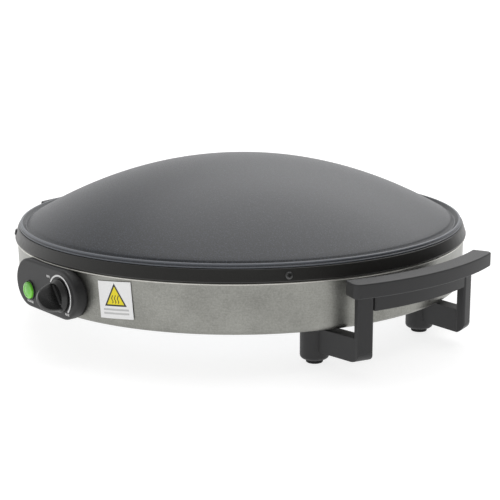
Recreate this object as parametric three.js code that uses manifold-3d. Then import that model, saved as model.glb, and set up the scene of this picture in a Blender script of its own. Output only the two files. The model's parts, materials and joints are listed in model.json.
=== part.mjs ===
// Electric dome griddle: a convex non-stick plate on a round steel drum, with a dial thermostat.
// Millimetres, +Z up. The control housing faces -Y and the two handles stand at +X and -X.
import * as THREE from 'three';
import { mergeVertices } from 'three/addons/utils/BufferGeometryUtils.js';
import Module from 'manifold-3d';

const wasm = await Module();
wasm.setup();

// ---- Driving dimensions ----
const GAP = 0.3; // clearance between touching pieces
const ROUND = 60; // facets round the large turned pieces
const SMALL_ROUND = 8; // and round the screws

const DOME_BASE_RADIUS = 189.4; // where the dome meets its rim
const DOME_BASE_Z = 85.3;
const DOME_RISE = 52.7;
const DOME_POWER = 2.063;
const PLATE_THICKNESS = 4.5;
const RIM_RADIUS = 196.1;
const RIM_TOP_Z = 86.8;
const RIM_BOTTOM_Z = 83.5;

const SKIRT_RADIUS = 200; // lower edge of the skirt, the widest round piece
const SKIRT_TOP_RADIUS = 197.3;
const SKIRT_TOP_Z = RIM_BOTTOM_Z - GAP;
const SKIRT_BOTTOM_Z = 73.3;
const SKIRT_WALL = 2.6;
const SKIRT_SHELF_RADIUS = 186;

const SCREW_SEAT_Z = 78;
const SCREW_ANGLES = [-30, 60, 150, 240];
const SCREW_HEAD_RADIUS = 2.9;
const SCREW_HEAD_HEIGHT = 1.3;
const SCREW_SHANK_RADIUS = 1.6;
const SCREW_LENGTH = 9;

const DRUM_RADIUS = 198.1; // wall just below the lip
const DRUM_FOOT_RADIUS = 197.6; // wall just above the bottom corner
const DRUM_BOTTOM_Z = 32;
const DRUM_LIP_RADIUS = 199.5;
const DRUM_LIP_Z = SKIRT_BOTTOM_Z - GAP;
const DRUM_SHEET = 1.2;
const DRUM_CORNER = 5;
const COLLAR_RADIUS = 193.8;
const COLLAR_TOP_Z = 80.4;
const FLANGE_INNER_RADIUS = 150;

const COVER_RADIUS = 160;
const COVER_BOTTOM_Z = DRUM_BOTTOM_Z + DRUM_SHEET + GAP;
const COVER_SHEET = 1.2;
const COVER_TOP_Z = COVER_BOTTOM_Z + COVER_SHEET;
const COVER_SCREW_RADIUS = 155;
const COVER_SCREW_ANGLES = [45, 135, 225, 315];
const COVER_SCREW_SHANK = 1.6;
const VENT_SLOTS = 8;
const VENT_RADIUS = 95; // middle of each slot, from the axis

const FACE_OUT = 204.5; // control face, measured from the drum's axis
const BOX_HALF_LENGTH = 45;
const BOX_RADIUS = 20;
const BOX_Z = 52.4;
const BOX_WALL = 2.5;
const BOX_BACK = 180; // cut away later where the drum is

const DIAL_X = 22.8;
const DIAL_Z = 51.5;
const KNOB_HEIGHT = 19.5;
const KNOB_BASE_RADIUS = 13.3;
const KNOB_TOP_RADIUS = 10.8; // where the cone of the base ends
const KNOB_BASE_HEIGHT = 4.5;
const KNOB_BLADE_WIDTH = 5;
const KNOB_POINTER_REACH = 11.7; // half-length of the blade on its slimmer, pointing side
const KNOB_TAIL_REACH = 12.4;
const KNOB_HUB_RADIUS = 4.9;
const KNOB_HUB_LENGTH = 6.4;
const KNOB_REST_ANGLE = 126; // direction of the pointer at rest, from +X towards +Z
const DIAL_HOLE_RADIUS = 5.5;
const SHAFT_RADIUS = 3;
const SHAFT_GRIP = 3.2; // how far the shaft reaches into the knob's base

const THERMOSTAT_FRONT = 187; // distances from the drum's axis
const THERMOSTAT_BACK = 163;
const THERMOSTAT_WIDTH = 34;
const THERMOSTAT_HEIGHT = 30;
const BUSH_RADIUS = 5; // threaded bush round the shaft
const BUSH_FRONT = 197;
const BRACKET_HALF_WIDTH = 14;
const BRACKET_SHEET = 1.2;
const NUT_RADIUS = 8;

const LAMP_X = -23.5;
const LAMP_Z = 46.8;
const LENS_RADIUS = 6.9;
const LENS_PROUD = 3;

const GRIP_INNER_RADIUS = 217;
const GRIP_OUTER_RADIUS = 233.5;
const GRIP_TOP_Z = 76.2;
const GRIP_BOTTOM_Z = 65;
const GRIP_HALF_ANGLE = 19.8; // degrees
const RIB_INNER_RADIUS = 213;
const RIB_OUTER_RADIUS = 220.5;
const RIB_BOTTOM_Z = 50.5;
const POST_RADIUS = 216.8;
const POST_ANGLE = 15.6; // degrees either side of the handle's middle
const POST_DEPTH = 7.5;
const POST_WIDTH = 13.5;

const FOOT_X = 160;
const FOOT_Y = 61.5;
const HOUSING_RADIUS = 11.5;
const HOUSING_BOTTOM_Z = 3.3;
const ARM_WIDTH = 12;
const ARM_TOP_Z = 30;
const ARM_BOTTOM_Z = 11;
const RUBBER_RADIUS = 6.7;
const RUBBER_PLUG_RADIUS = 4.3; // the plug that holds the rubber foot in its housing
const RUBBER_PLUG_TOP_Z = 10;
const LEG_CORNER = 9; // rounding of the leg's outer bottom corner
const LEG_SCREW_RADIUS = 2;
const SCREW_SEAT_IN_LEG_Z = 15;

const REFLECTOR_Z = 66;
const REFLECTOR_TOP_Z = REFLECTOR_Z + 0.9;
const REFLECTOR_FLAT_RADIUS = 150;
const REFLECTOR_RADIUS = 184;
const REFLECTOR_POST_ANGLES = [20, 110, 200, 290];
const REFLECTOR_POST_RADIUS = 135;
const WIRE_PASS_ANGLES = [100, 80]; // the element's two ends
const WIRE_PASS_RADIUS = 112;

const ELEMENT_RADIUS = 3.5;
const ELEMENT_DROP = 12; // below the inside of the dome
const OUTER_RING = 128;
const INNER_RING = 74;
const CLAMP_ANGLES = [140, 230, 320];
const CLAMP_SHEET = 1.2;
const BULB_RADIUS = 2.5;
const BULB_HALF_LENGTH = 35;
const BULB_ANGLE = -40;
const CAPILLARY_RADIUS = 0.9;

const BLOCK_TOP_Z = 50;
const WIRE_RADIUS = 1.5;
const FUSE_RADIUS = 2.2;
const FUSE_LEAD_RADIUS = 0.8;
const FUSE_HALF_LENGTH = 18; // with its leads
const FUSE_Y = 100;
const FUSE_Z = 48;

const GLAND_ANGLE = 90; // the cord enters at the back
const GLAND_Z = 52;
const GLAND_RADIUS = 9;
const GLAND_PROUD = 8;
const GLAND_BORE_RADIUS = 3.6;
const GLAND_INSIDE = 9;

const LABEL_WIDTH = 30;
const LABEL_HEIGHT = 29;
const LABEL_THICKNESS = 0.3;
const LABEL_ANGLE = -69; // azimuth of its middle, in degrees
const LABEL_Z = 54.3;
const LABEL_TILT = 4; // degrees

const DEG = Math.PI / 180;
const FRONT_REACH = FACE_OUT + GAP + KNOB_HEIGHT;
const REAR_REACH = DRUM_RADIUS + GLAND_PROUD;
const CENTRE_SHIFT = (FRONT_REACH - REAR_REACH) / 2; // puts the origin under the middle of the whole

// ---- Finishes ----
function finish(color, roughness, metalness) {
  return new THREE.MeshStandardMaterial({ color, roughness, metalness });
}
const nonStick = () => finish(0x2e3034, 0.55, 0.2);
const blackPaint = () => finish(0x26262a, 0.5, 0.3);
const brushedSteel = () => finish(0x9a9a94, 0.35, 1);
const zincSteel = () => finish(0xa8aaae, 0.45, 1);
const blackPlastic = () => finish(0x2a2b2e, 0.5, 0);
const glossPlastic = () => finish(0x1c1c1f, 0.3, 0);
const rubber = () => finish(0x101010, 0.9, 0);
const greenLens = () => finish(0x2fae2a, 0.2, 0);
const brass = () => finish(0xb08d4a, 0.35, 1);
const ceramic = () => finish(0xe8e2d4, 0.4, 0);
const paper = () => finish(0xf2f2ee, 0.6, 0);
const silicone = (color) => finish(color, 0.6, 0);

// ---- Geometry helpers ----
function pointOut(geometry) {
  // Turns every triangle over when the body encloses a negative volume.
  const flat = geometry.index ? geometry.toNonIndexed() : geometry;
  const p = flat.attributes.position;
  const a = new THREE.Vector3();
  const b = new THREE.Vector3();
  const c = new THREE.Vector3();
  let volume = 0;
  for (let i = 0; i < p.count; i += 3) {
    a.fromBufferAttribute(p, i);
    b.fromBufferAttribute(p, i + 1);
    c.fromBufferAttribute(p, i + 2);
    volume += a.dot(b.cross(c));
  }
  if (volume >= 0) return flat;
  for (let i = 0; i < p.count; i += 3) {
    a.fromBufferAttribute(p, i + 1);
    b.fromBufferAttribute(p, i + 2);
    p.setXYZ(i + 1, b.x, b.y, b.z);
    p.setXYZ(i + 2, a.x, a.y, a.z);
  }
  return flat;
}

function toSolid(geometry) {
  const bare = pointOut(geometry);
  for (const name of Object.keys(bare.attributes)) {
    if (name !== 'position') bare.deleteAttribute(name);
  }
  const merged = mergeVertices(bare, 1e-4);
  const mesh = new wasm.Mesh({
    numProp: 3,
    vertProperties: new Float32Array(merged.attributes.position.array),
    triVerts: new Uint32Array(merged.index.array),
  });
  mesh.merge();
  return new wasm.Manifold(mesh);
}

function fromSolid(solid) {
  const mesh = solid.getMesh();
  const geometry = new THREE.BufferGeometry();
  geometry.setAttribute('position', new THREE.BufferAttribute(mesh.vertProperties, 3));
  geometry.setIndex(new THREE.BufferAttribute(mesh.triVerts, 1));
  return geometry;
}

function cut(base, ...tools) {
  return fromSolid(tools.reduce((solid, tool) => solid.subtract(toSolid(tool)), toSolid(base)));
}

function join(first, ...others) {
  return fromSolid(others.reduce((solid, other) => solid.add(toSolid(other)), toSolid(first)));
}

function common(first, second) {
  return fromSolid(toSolid(first).intersect(toSolid(second)));
}

function turned(profile, facets = ROUND) {
  // Revolves [radius, z] points about the Z axis.
  const points = profile.map(([r, z]) => new THREE.Vector2(r, z));
  const geometry = new THREE.LatheGeometry(points, facets);
  return pointOut(geometry.rotateX(Math.PI / 2));
}

function rod(radius, z0, z1, facets = 12) {
  return turned([[0, z0], [radius, z0], [radius, z1], [0, z1]], facets);
}

function forward(geometry) {
  // Turns a piece built along +Z so that it points along -Y.
  return geometry.rotateX(Math.PI / 2);
}

function prism(shape, z0, z1, curveSegments = 12) {
  const settings = { depth: z1 - z0, bevelEnabled: false, curveSegments };
  return new THREE.ExtrudeGeometry(shape, settings).translate(0, 0, z0);
}

function box(x0, x1, y0, y1, z0, z1) {
  const geometry = new THREE.BoxGeometry(x1 - x0, y1 - y0, z1 - z0);
  return geometry.translate((x0 + x1) / 2, (y0 + y1) / 2, (z0 + z1) / 2);
}

function tube(points, radius, sides, steps) {
  const route = new THREE.CatmullRomCurve3(points, false, 'centripetal');
  const section = new THREE.Shape();
  for (let i = 0; i < sides; i += 1) {
    const angle = (i / sides) * 2 * Math.PI;
    const place = [radius * Math.cos(angle), radius * Math.sin(angle)];
    if (i === 0) section.moveTo(...place);
    else section.lineTo(...place);
  }
  const settings = { steps, extrudePath: route, bevelEnabled: false };
  return pointOut(new THREE.ExtrudeGeometry(section, settings));
}

function stadium(halfLength, radius) {
  const shape = new THREE.Shape();
  const straight = halfLength - radius;
  shape.moveTo(-straight, -radius);
  shape.lineTo(straight, -radius);
  shape.absarc(straight, 0, radius, -Math.PI / 2, Math.PI / 2, false);
  shape.lineTo(-straight, radius);
  shape.absarc(-straight, 0, radius, Math.PI / 2, 1.5 * Math.PI, false);
  return shape;
}

function roundedRectangle(width, height, radius) {
  const shape = new THREE.Shape();
  const x = width / 2 - radius;
  const y = height / 2 - radius;
  shape.moveTo(-x, -height / 2);
  shape.lineTo(x, -height / 2);
  shape.absarc(x, -y, radius, -Math.PI / 2, 0, false);
  shape.lineTo(width / 2, y);
  shape.absarc(x, y, radius, 0, Math.PI / 2, false);
  shape.lineTo(-x, height / 2);
  shape.absarc(-x, y, radius, Math.PI / 2, Math.PI, false);
  shape.lineTo(-width / 2, -y);
  shape.absarc(-x, -y, radius, Math.PI, 1.5 * Math.PI, false);
  return shape;
}

function polar(radius, degrees, z = 0) {
  return new THREE.Vector3(radius * Math.cos(degrees * DEG), radius * Math.sin(degrees * DEG), z);
}

const group = new THREE.Group();
group.position.y = CENTRE_SHIFT;

function add(name, geometry, material, parent = group) {
  const mesh = new THREE.Mesh(geometry, material);
  mesh.name = name;
  parent.add(mesh);
  return mesh;
}

// ---- Dome plate: a cast shell with a raised rim ----
const domeZ = (r) => DOME_BASE_Z + DOME_RISE * (1 - (r / DOME_BASE_RADIUS) ** DOME_POWER);
const domeUnderZ = (r) => domeZ(r) - PLATE_THICKNESS;

function domePlate() {
  const over = [0, 32, 64, 94, 120, 144, 164, 178, 187].map((r) => [r, domeZ(r)]);
  const rim = [
    [190.4, DOME_BASE_Z],
    [192.4, RIM_TOP_Z - 0.5],
    [194.2, RIM_TOP_Z],
    [195.6, RIM_TOP_Z - 0.6],
    [RIM_RADIUS, RIM_TOP_Z - 1.8],
    [RIM_RADIUS, RIM_BOTTOM_Z],
    [187, RIM_BOTTOM_Z],
  ];
  const under = [182, 160, 125, 85, 45, 0].map((r) => [r, domeUnderZ(r)]);
  return turned([...over, ...rim, ...under]);
}
add('dome_plate', domePlate(), nonStick());

// ---- Skirt ring and its four screws ----
const SKIRT_LEAN = Math.atan2(SKIRT_RADIUS - SKIRT_TOP_RADIUS, SKIRT_TOP_Z - SKIRT_BOTTOM_Z);

function screw(headRadius, headHeight, shankRadius, length) {
  // Head seated at z = 0, crown upwards, shank downwards.
  return turned([
    [0, -length],
    [shankRadius, -length],
    [shankRadius, GAP / 2],
    [headRadius, GAP / 2],
    [headRadius, headHeight * 0.45],
    [headRadius * 0.72, headHeight * 0.9],
    [0, headHeight],
  ], SMALL_ROUND);
}

function placeOnSkirt(geometry, degrees) {
  const share = (SCREW_SEAT_Z - SKIRT_BOTTOM_Z) / (SKIRT_TOP_Z - SKIRT_BOTTOM_Z);
  const seatRadius = SKIRT_RADIUS + (SKIRT_TOP_RADIUS - SKIRT_RADIUS) * share;
  geometry.rotateY(Math.PI / 2 - SKIRT_LEAN);
  geometry.translate(seatRadius, 0, SCREW_SEAT_Z);
  return geometry.rotateZ(degrees * DEG);
}

const screwHoles = () => SCREW_ANGLES.map((angle) => (
  placeOnSkirt(rod(SCREW_SHANK_RADIUS + GAP, -SCREW_LENGTH - 2, 3, SMALL_ROUND), angle)
));

const skirtProfile = [
  [SKIRT_SHELF_RADIUS, SKIRT_TOP_Z],
  [SKIRT_TOP_RADIUS - 0.7, SKIRT_TOP_Z],
  [SKIRT_TOP_RADIUS, SKIRT_TOP_Z - 0.5],
  [SKIRT_RADIUS, SKIRT_BOTTOM_Z + 0.6],
  [SKIRT_RADIUS - 0.5, SKIRT_BOTTOM_Z],
  [SKIRT_RADIUS - SKIRT_WALL, SKIRT_BOTTOM_Z],
  [SKIRT_TOP_RADIUS - SKIRT_WALL, SKIRT_TOP_Z - 2.3],
  [SKIRT_SHELF_RADIUS, SKIRT_TOP_Z - 2.3],
  [SKIRT_SHELF_RADIUS, SKIRT_TOP_Z],
];
add('skirt_ring', cut(turned(skirtProfile), ...screwHoles()), blackPaint());

SCREW_ANGLES.forEach((angle, i) => {
  const piece = screw(SCREW_HEAD_RADIUS, SCREW_HEAD_HEIGHT, SCREW_SHANK_RADIUS, SCREW_LENGTH);
  piece.translate(0, 0, GAP / 2);
  add(`skirt_screw_${i + 1}`, placeOnSkirt(piece, angle), blackPaint());
});

// ---- Feet and cover fixings: places shared by the drum, cover and legs ----
const LEG_PLACES = [
  { side: 0, end: -1 },
  { side: 0, end: 1 },
  { side: 180, end: -1 },
  { side: 180, end: 1 },
];

function atFoot(geometry, place) {
  geometry.translate(FOOT_X, place.end * FOOT_Y, 0);
  return geometry.rotateZ(place.side * DEG);
}

function atCoverScrew(geometry, degrees) {
  return geometry.translate(COVER_SCREW_RADIUS, 0, 0).rotateZ(degrees * DEG);
}

// ---- Base drum: one pressed steel pan with a lip, a collar and a bottom flange ----
const drumProfile = [
  [FLANGE_INNER_RADIUS, DRUM_BOTTOM_Z],
  [DRUM_FOOT_RADIUS - DRUM_CORNER, DRUM_BOTTOM_Z],
  [DRUM_FOOT_RADIUS - DRUM_CORNER * (1 - Math.sin(40 * DEG)), DRUM_BOTTOM_Z + DRUM_CORNER * 0.234],
  [DRUM_FOOT_RADIUS - DRUM_CORNER * (1 - Math.sin(68 * DEG)), DRUM_BOTTOM_Z + DRUM_CORNER * 0.625],
  [DRUM_FOOT_RADIUS, DRUM_BOTTOM_Z + DRUM_CORNER],
  [DRUM_RADIUS, DRUM_LIP_Z - 2.4],
  [DRUM_LIP_RADIUS - 0.3, DRUM_LIP_Z - 1.7],
  [DRUM_LIP_RADIUS, DRUM_LIP_Z - 0.9],
  [DRUM_LIP_RADIUS - 0.4, DRUM_LIP_Z],
  [COLLAR_RADIUS, DRUM_LIP_Z],
  [COLLAR_RADIUS, COLLAR_TOP_Z],
  [COLLAR_RADIUS - DRUM_SHEET, COLLAR_TOP_Z],
  [COLLAR_RADIUS - DRUM_SHEET, DRUM_LIP_Z - DRUM_SHEET],
  [DRUM_RADIUS - DRUM_SHEET, DRUM_LIP_Z - DRUM_SHEET - 1.2],
  [DRUM_FOOT_RADIUS - DRUM_SHEET, DRUM_BOTTOM_Z + DRUM_CORNER],
  [DRUM_FOOT_RADIUS - DRUM_CORNER, DRUM_BOTTOM_Z + DRUM_SHEET],
  [FLANGE_INNER_RADIUS, DRUM_BOTTOM_Z + DRUM_SHEET],
  [FLANGE_INNER_RADIUS, DRUM_BOTTOM_Z],
];

function baseDrum() {
  const window = forward(prism(stadium(35, 14), DRUM_RADIUS - 20, DRUM_RADIUS + 5, 6));
  window.translate(0, 0, BOX_Z);
  const glandHole = rod(GLAND_RADIUS - 2, DRUM_RADIUS - 12, DRUM_RADIUS + 5);
  glandHole.rotateY(Math.PI / 2).rotateZ(GLAND_ANGLE * DEG).translate(0, 0, GLAND_Z);
  const legHoles = LEG_PLACES.map((place) => (
    atFoot(rod(LEG_SCREW_RADIUS + GAP, DRUM_BOTTOM_Z - 2, DRUM_BOTTOM_Z + 4, SMALL_ROUND), place)
  ));
  const coverHoles = COVER_SCREW_ANGLES.map((angle) => (
    atCoverScrew(rod(COVER_SCREW_SHANK + GAP, DRUM_BOTTOM_Z - 2, DRUM_BOTTOM_Z + 3, SMALL_ROUND), angle)
  ));
  return cut(turned(drumProfile), window, glandHole, ...screwHoles(), ...legHoles, ...coverHoles);
}
add('base_drum', baseDrum(), brushedSteel());

// ---- Bottom cover with vent slots, and its screws ----
function bottomCover() {
  const disc = new THREE.Shape();
  disc.absarc(0, 0, COVER_RADIUS, 0, 2 * Math.PI, false);
  for (let i = 0; i < VENT_SLOTS; i += 1) {
    const slot = new THREE.Path();
    const middle = polar(VENT_RADIUS, (i + 0.5) * (360 / VENT_SLOTS));
    const outline = stadium(26, 3).getPoints(3);
    const turn = (i + 0.5) * (360 / VENT_SLOTS) * DEG;
    slot.setFromPoints(outline.map((p) => (
      p.clone().rotateAround(new THREE.Vector2(), turn).add(middle)
    )));
    disc.holes.push(slot);
  }
  const plate = prism(disc, COVER_BOTTOM_Z, COVER_TOP_Z, ROUND / 2);
  const holes = COVER_SCREW_ANGLES.map((angle) => (
    atCoverScrew(rod(COVER_SCREW_SHANK + GAP, COVER_BOTTOM_Z - 2, COVER_TOP_Z + 2, SMALL_ROUND), angle)
  ));
  return cut(plate, ...holes);
}
add('bottom_cover', bottomCover(), zincSteel());

COVER_SCREW_ANGLES.forEach((angle, i) => {
  const piece = screw(3.2, 1.8, COVER_SCREW_SHANK, 7).rotateX(Math.PI);
  piece.translate(0, 0, DRUM_BOTTOM_Z - GAP / 2);
  add(`cover_screw_${i + 1}`, atCoverScrew(piece, angle), zincSteel());
});

// ---- Handles: a curved grip on two legs at each side ----
function arcBand(innerRadius, outerRadius, halfAngle, corner) {
  const a = halfAngle * DEG;
  const inset = corner / outerRadius;
  const shape = new THREE.Shape();
  shape.absarc(0, 0, outerRadius, -a + inset, a - inset, false);
  if (corner > 0) {
    const outer = new THREE.Vector2(outerRadius * Math.cos(a), outerRadius * Math.sin(a));
    const after = outer.clone().multiplyScalar(1 - corner / outerRadius);
    shape.quadraticCurveTo(outer.x, outer.y, after.x, after.y);
  }
  shape.absarc(0, 0, innerRadius, a, -a, true);
  if (corner > 0) {
    const outer = new THREE.Vector2(outerRadius * Math.cos(a), -outerRadius * Math.sin(a));
    const before = outer.clone().multiplyScalar(1 - corner / outerRadius);
    const after = new THREE.Vector2(outerRadius, 0).rotateAround(new THREE.Vector2(), -a + inset);
    shape.lineTo(before.x, before.y);
    shape.quadraticCurveTo(outer.x, outer.y, after.x, after.y);
  }
  return shape;
}

function handleGrip() {
  const bar = prism(arcBand(GRIP_INNER_RADIUS, GRIP_OUTER_RADIUS, GRIP_HALF_ANGLE, 5),
    GRIP_BOTTOM_Z, GRIP_TOP_Z, 10);
  const postHalf = (POST_WIDTH / 2 + GAP) / POST_RADIUS / DEG;
  const rib = prism(arcBand(RIB_INNER_RADIUS, RIB_OUTER_RADIUS, POST_ANGLE - postHalf, 0),
    RIB_BOTTOM_Z, GRIP_BOTTOM_Z + 2, 8);
  return join(bar, rib);
}

function handleLeg(end) {
  const housing = turned([
    [0, HOUSING_BOTTOM_Z],
    [HOUSING_RADIUS - 3, HOUSING_BOTTOM_Z],
    [HOUSING_RADIUS - 0.9, HOUSING_BOTTOM_Z + 0.9],
    [HOUSING_RADIUS, HOUSING_BOTTOM_Z + 3],
    [HOUSING_RADIUS, DRUM_BOTTOM_Z - GAP],
    [0, DRUM_BOTTOM_Z - GAP],
  ], 16).translate(FOOT_X, end * FOOT_Y, 0);

  const post = polar(POST_RADIUS, end * POST_ANGLE);
  const run = new THREE.Vector2(post.x - FOOT_X, post.y - end * FOOT_Y);
  const arm = box(0, run.length(), -ARM_WIDTH / 2, ARM_WIDTH / 2, ARM_BOTTOM_Z, ARM_TOP_Z);
  arm.rotateZ(run.angle()).translate(FOOT_X, end * FOOT_Y, 0);

  const outline = roundedRectangle(POST_DEPTH, POST_WIDTH, 2.2);
  const column = prism(outline, ARM_BOTTOM_Z, GRIP_BOTTOM_Z - GAP, 2);
  column.rotateZ(end * POST_ANGLE * DEG).translate(post.x, post.y, 0);

  // The outer bottom corner of the leg is rounded off in the plane across the handle.
  const outside = POST_RADIUS + POST_DEPTH / 2;
  const side = new THREE.Shape();
  side.moveTo(0, 0);
  side.lineTo(0, 100);
  side.lineTo(outside, 100);
  side.lineTo(outside, ARM_BOTTOM_Z + LEG_CORNER);
  side.absarc(outside - LEG_CORNER, ARM_BOTTOM_Z + LEG_CORNER, LEG_CORNER, 0, -Math.PI / 2, true);
  side.lineTo(FOOT_X + HOUSING_RADIUS + 4, ARM_BOTTOM_Z);
  side.lineTo(FOOT_X + HOUSING_RADIUS + 4, 0);
  const envelope = prism(side, -60, 60, 5);
  envelope.rotateX(Math.PI / 2).rotateZ(end * POST_ANGLE * DEG);

  const counterbore = rod(RUBBER_PLUG_RADIUS + 0.4, 0, SCREW_SEAT_IN_LEG_Z);
  counterbore.translate(FOOT_X, end * FOOT_Y, 0);
  const hole = rod(LEG_SCREW_RADIUS + GAP, 10, 40, SMALL_ROUND).translate(FOOT_X, end * FOOT_Y, 0);
  return cut(join(housing, common(join(arm, column), envelope)), counterbore, hole);
}

['right', 'left'].forEach((side, i) => {
  add(`handle_grip_${side}`, handleGrip().rotateZ(i * Math.PI), blackPlastic());
});

LEG_PLACES.forEach((place, i) => {
  add(`handle_leg_${i + 1}`, handleLeg(place.end).rotateZ(place.side * DEG), blackPlastic());
  const bolt = screw(4, 3, LEG_SCREW_RADIUS, 24).rotateX(Math.PI);
  bolt.translate(0, 0, SCREW_SEAT_IN_LEG_Z - GAP / 2);
  add(`leg_screw_${i + 1}`, atFoot(bolt, place), zincSteel());
  const pad = turned([
    [0, 0],
    [RUBBER_RADIUS - 0.8, 0],
    [RUBBER_RADIUS, 0.8],
    [RUBBER_RADIUS, HOUSING_BOTTOM_Z - GAP],
    [RUBBER_PLUG_RADIUS, HOUSING_BOTTOM_Z - GAP],
    [RUBBER_PLUG_RADIUS, RUBBER_PLUG_TOP_Z],
    [0, RUBBER_PLUG_TOP_Z],
  ], 16);
  add(`rubber_foot_${i + 1}`, atFoot(pad, place), rubber());
});

// ---- Control housing, its gasket, and the lamp ----
const nearDrum = (clearance, z1) => turned([
  [0, 0],
  [DRUM_RADIUS + clearance, 0],
  [DRUM_RADIUS + clearance, z1],
  [0, z1],
], ROUND);
const underLip = () => turned([
  [0, DRUM_LIP_Z - 2.4 - GAP],
  [SKIRT_RADIUS + 0.2, DRUM_LIP_Z - 2.4 - GAP],
  [SKIRT_RADIUS + 0.2, 90],
  [0, 90],
], ROUND);
const GASKET_INNER = GAP;
const GASKET_OUTER = 1.4;

function boxShape(inset, from, to) {
  const shape = stadium(BOX_HALF_LENGTH - inset, BOX_RADIUS - inset);
  return forward(prism(shape, from, to, 6)).translate(0, 0, BOX_Z);
}

function frontHole(radius, x, z) {
  return forward(rod(radius, FACE_OUT - 10, FACE_OUT + 5, 16)).translate(x, 0, z);
}

function controlHousing() {
  const edge = 2;
  const shape = stadium(BOX_HALF_LENGTH, BOX_RADIUS);
  const shell = forward(new THREE.ExtrudeGeometry(shape, {
    depth: FACE_OUT - BOX_BACK - 2 * edge,
    bevelThickness: edge,
    bevelSize: edge,
    bevelOffset: -edge,
    bevelSegments: 2,
    curveSegments: 8,
  })).translate(0, -BOX_BACK - edge, BOX_Z);
  return cut(
    shell,
    nearDrum(GASKET_OUTER + GAP, 100),
    underLip(),
    boxShape(BOX_WALL, 170, FACE_OUT - BOX_WALL),
    frontHole(DIAL_HOLE_RADIUS, DIAL_X, DIAL_Z),
    frontHole(LENS_RADIUS + GAP, LAMP_X, LAMP_Z),
  );
}
add('control_housing', controlHousing(), blackPlastic());

function controlGasket() {
  const ring = cut(boxShape(0.3, 185, 202), boxShape(5, 180, 210));
  const outside = cut(ring, nearDrum(GASKET_INNER, 100), underLip());
  return common(outside, nearDrum(GASKET_OUTER, 100));
}
add('control_gasket', controlGasket(), rubber());

const lens = turned([
  [0, FACE_OUT - 6],
  [LENS_RADIUS, FACE_OUT - 6],
  [LENS_RADIUS, FACE_OUT + LENS_PROUD - 1],
  [LENS_RADIUS * 0.8, FACE_OUT + LENS_PROUD - 0.25],
  [0, FACE_OUT + LENS_PROUD],
], 16);
add('lamp_lens', forward(lens).translate(LAMP_X, 0, LAMP_Z), greenLens());

const bezel = turned([
  [LENS_RADIUS + GAP, FACE_OUT + GAP],
  [LENS_RADIUS + 1.3, FACE_OUT + GAP],
  [LENS_RADIUS + 1.1, FACE_OUT + 1],
  [LENS_RADIUS + GAP, FACE_OUT + 1.1],
  [LENS_RADIUS + GAP, FACE_OUT + GAP],
], 16);
add('lamp_bezel', forward(bezel).translate(LAMP_X, 0, LAMP_Z), glossPlastic());

const lampBody = join(
  rod(5.5, FACE_OUT - 26, FACE_OUT - 6 - GAP),
  box(-3.6, -2.9, -2.4, 2.4, FACE_OUT - 33, FACE_OUT - 25),
  box(2.9, 3.6, -2.4, 2.4, FACE_OUT - 33, FACE_OUT - 25),
);
add('lamp_body', forward(lampBody).translate(LAMP_X, 0, LAMP_Z), glossPlastic());

// ---- Thermostat: body, bracket, nut, shaft and knob ----

const thermostat = cut(
  join(
    prism(roundedRectangle(THERMOSTAT_WIDTH, THERMOSTAT_HEIGHT, 2), THERMOSTAT_BACK, THERMOSTAT_FRONT, 3),
    rod(BUSH_RADIUS, THERMOSTAT_FRONT - 1, BUSH_FRONT),
  ),
  rod(SHAFT_RADIUS + GAP, THERMOSTAT_FRONT - 2, BUSH_FRONT + 2),
);
add('thermostat_body', forward(thermostat).translate(DIAL_X, 0, DIAL_Z), zincSteel());

const BRACKET_BACK = THERMOSTAT_FRONT + GAP;
const BRACKET_FRONT = BRACKET_BACK + BRACKET_SHEET + GAP;
const bracketFootZ = COVER_BOTTOM_Z - DIAL_Z;
const bracket = cut(
  join(
    box(-BRACKET_HALF_WIDTH, BRACKET_HALF_WIDTH, bracketFootZ, 12, BRACKET_BACK, BRACKET_FRONT),
    box(-BRACKET_HALF_WIDTH, BRACKET_HALF_WIDTH, bracketFootZ, bracketFootZ + BRACKET_SHEET,
      THERMOSTAT_BACK + 12, BRACKET_FRONT),
  ),
  rod(BUSH_RADIUS + GAP, THERMOSTAT_FRONT - 2, BRACKET_FRONT + 2),
);
add('thermostat_bracket', forward(bracket).translate(DIAL_X, 0, DIAL_Z), zincSteel());

const nut = cut(
  rod(NUT_RADIUS, BRACKET_FRONT + GAP, BRACKET_FRONT + 3.2, 6),
  rod(BUSH_RADIUS + GAP, THERMOSTAT_FRONT, BRACKET_FRONT + 6),
);
add('thermostat_nut', forward(nut).translate(DIAL_X, 0, DIAL_Z), brass());

const KNOB_BACK = FACE_OUT + GAP;
const shaft = rod(SHAFT_RADIUS, THERMOSTAT_FRONT - 1.5, KNOB_BACK + SHAFT_GRIP);
add('thermostat_shaft', forward(shaft).translate(DIAL_X, 0, DIAL_Z), zincSteel());

function bladePoint(degrees) {
  // One point of the blade's outline: round on the pointing side, fuller on the tail.
  const angle = degrees * DEG;
  const pointing = Math.cos(angle) > 0;
  const reach = pointing ? KNOB_POINTER_REACH : KNOB_TAIL_REACH;
  const power = pointing ? 1 : 0.78;
  const across = reach * Math.sign(Math.cos(angle)) * Math.abs(Math.cos(angle)) ** power;
  const rise = (KNOB_HEIGHT - 1) * Math.abs(Math.sin(angle)) ** power;
  return [across, 1 + rise];
}

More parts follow.
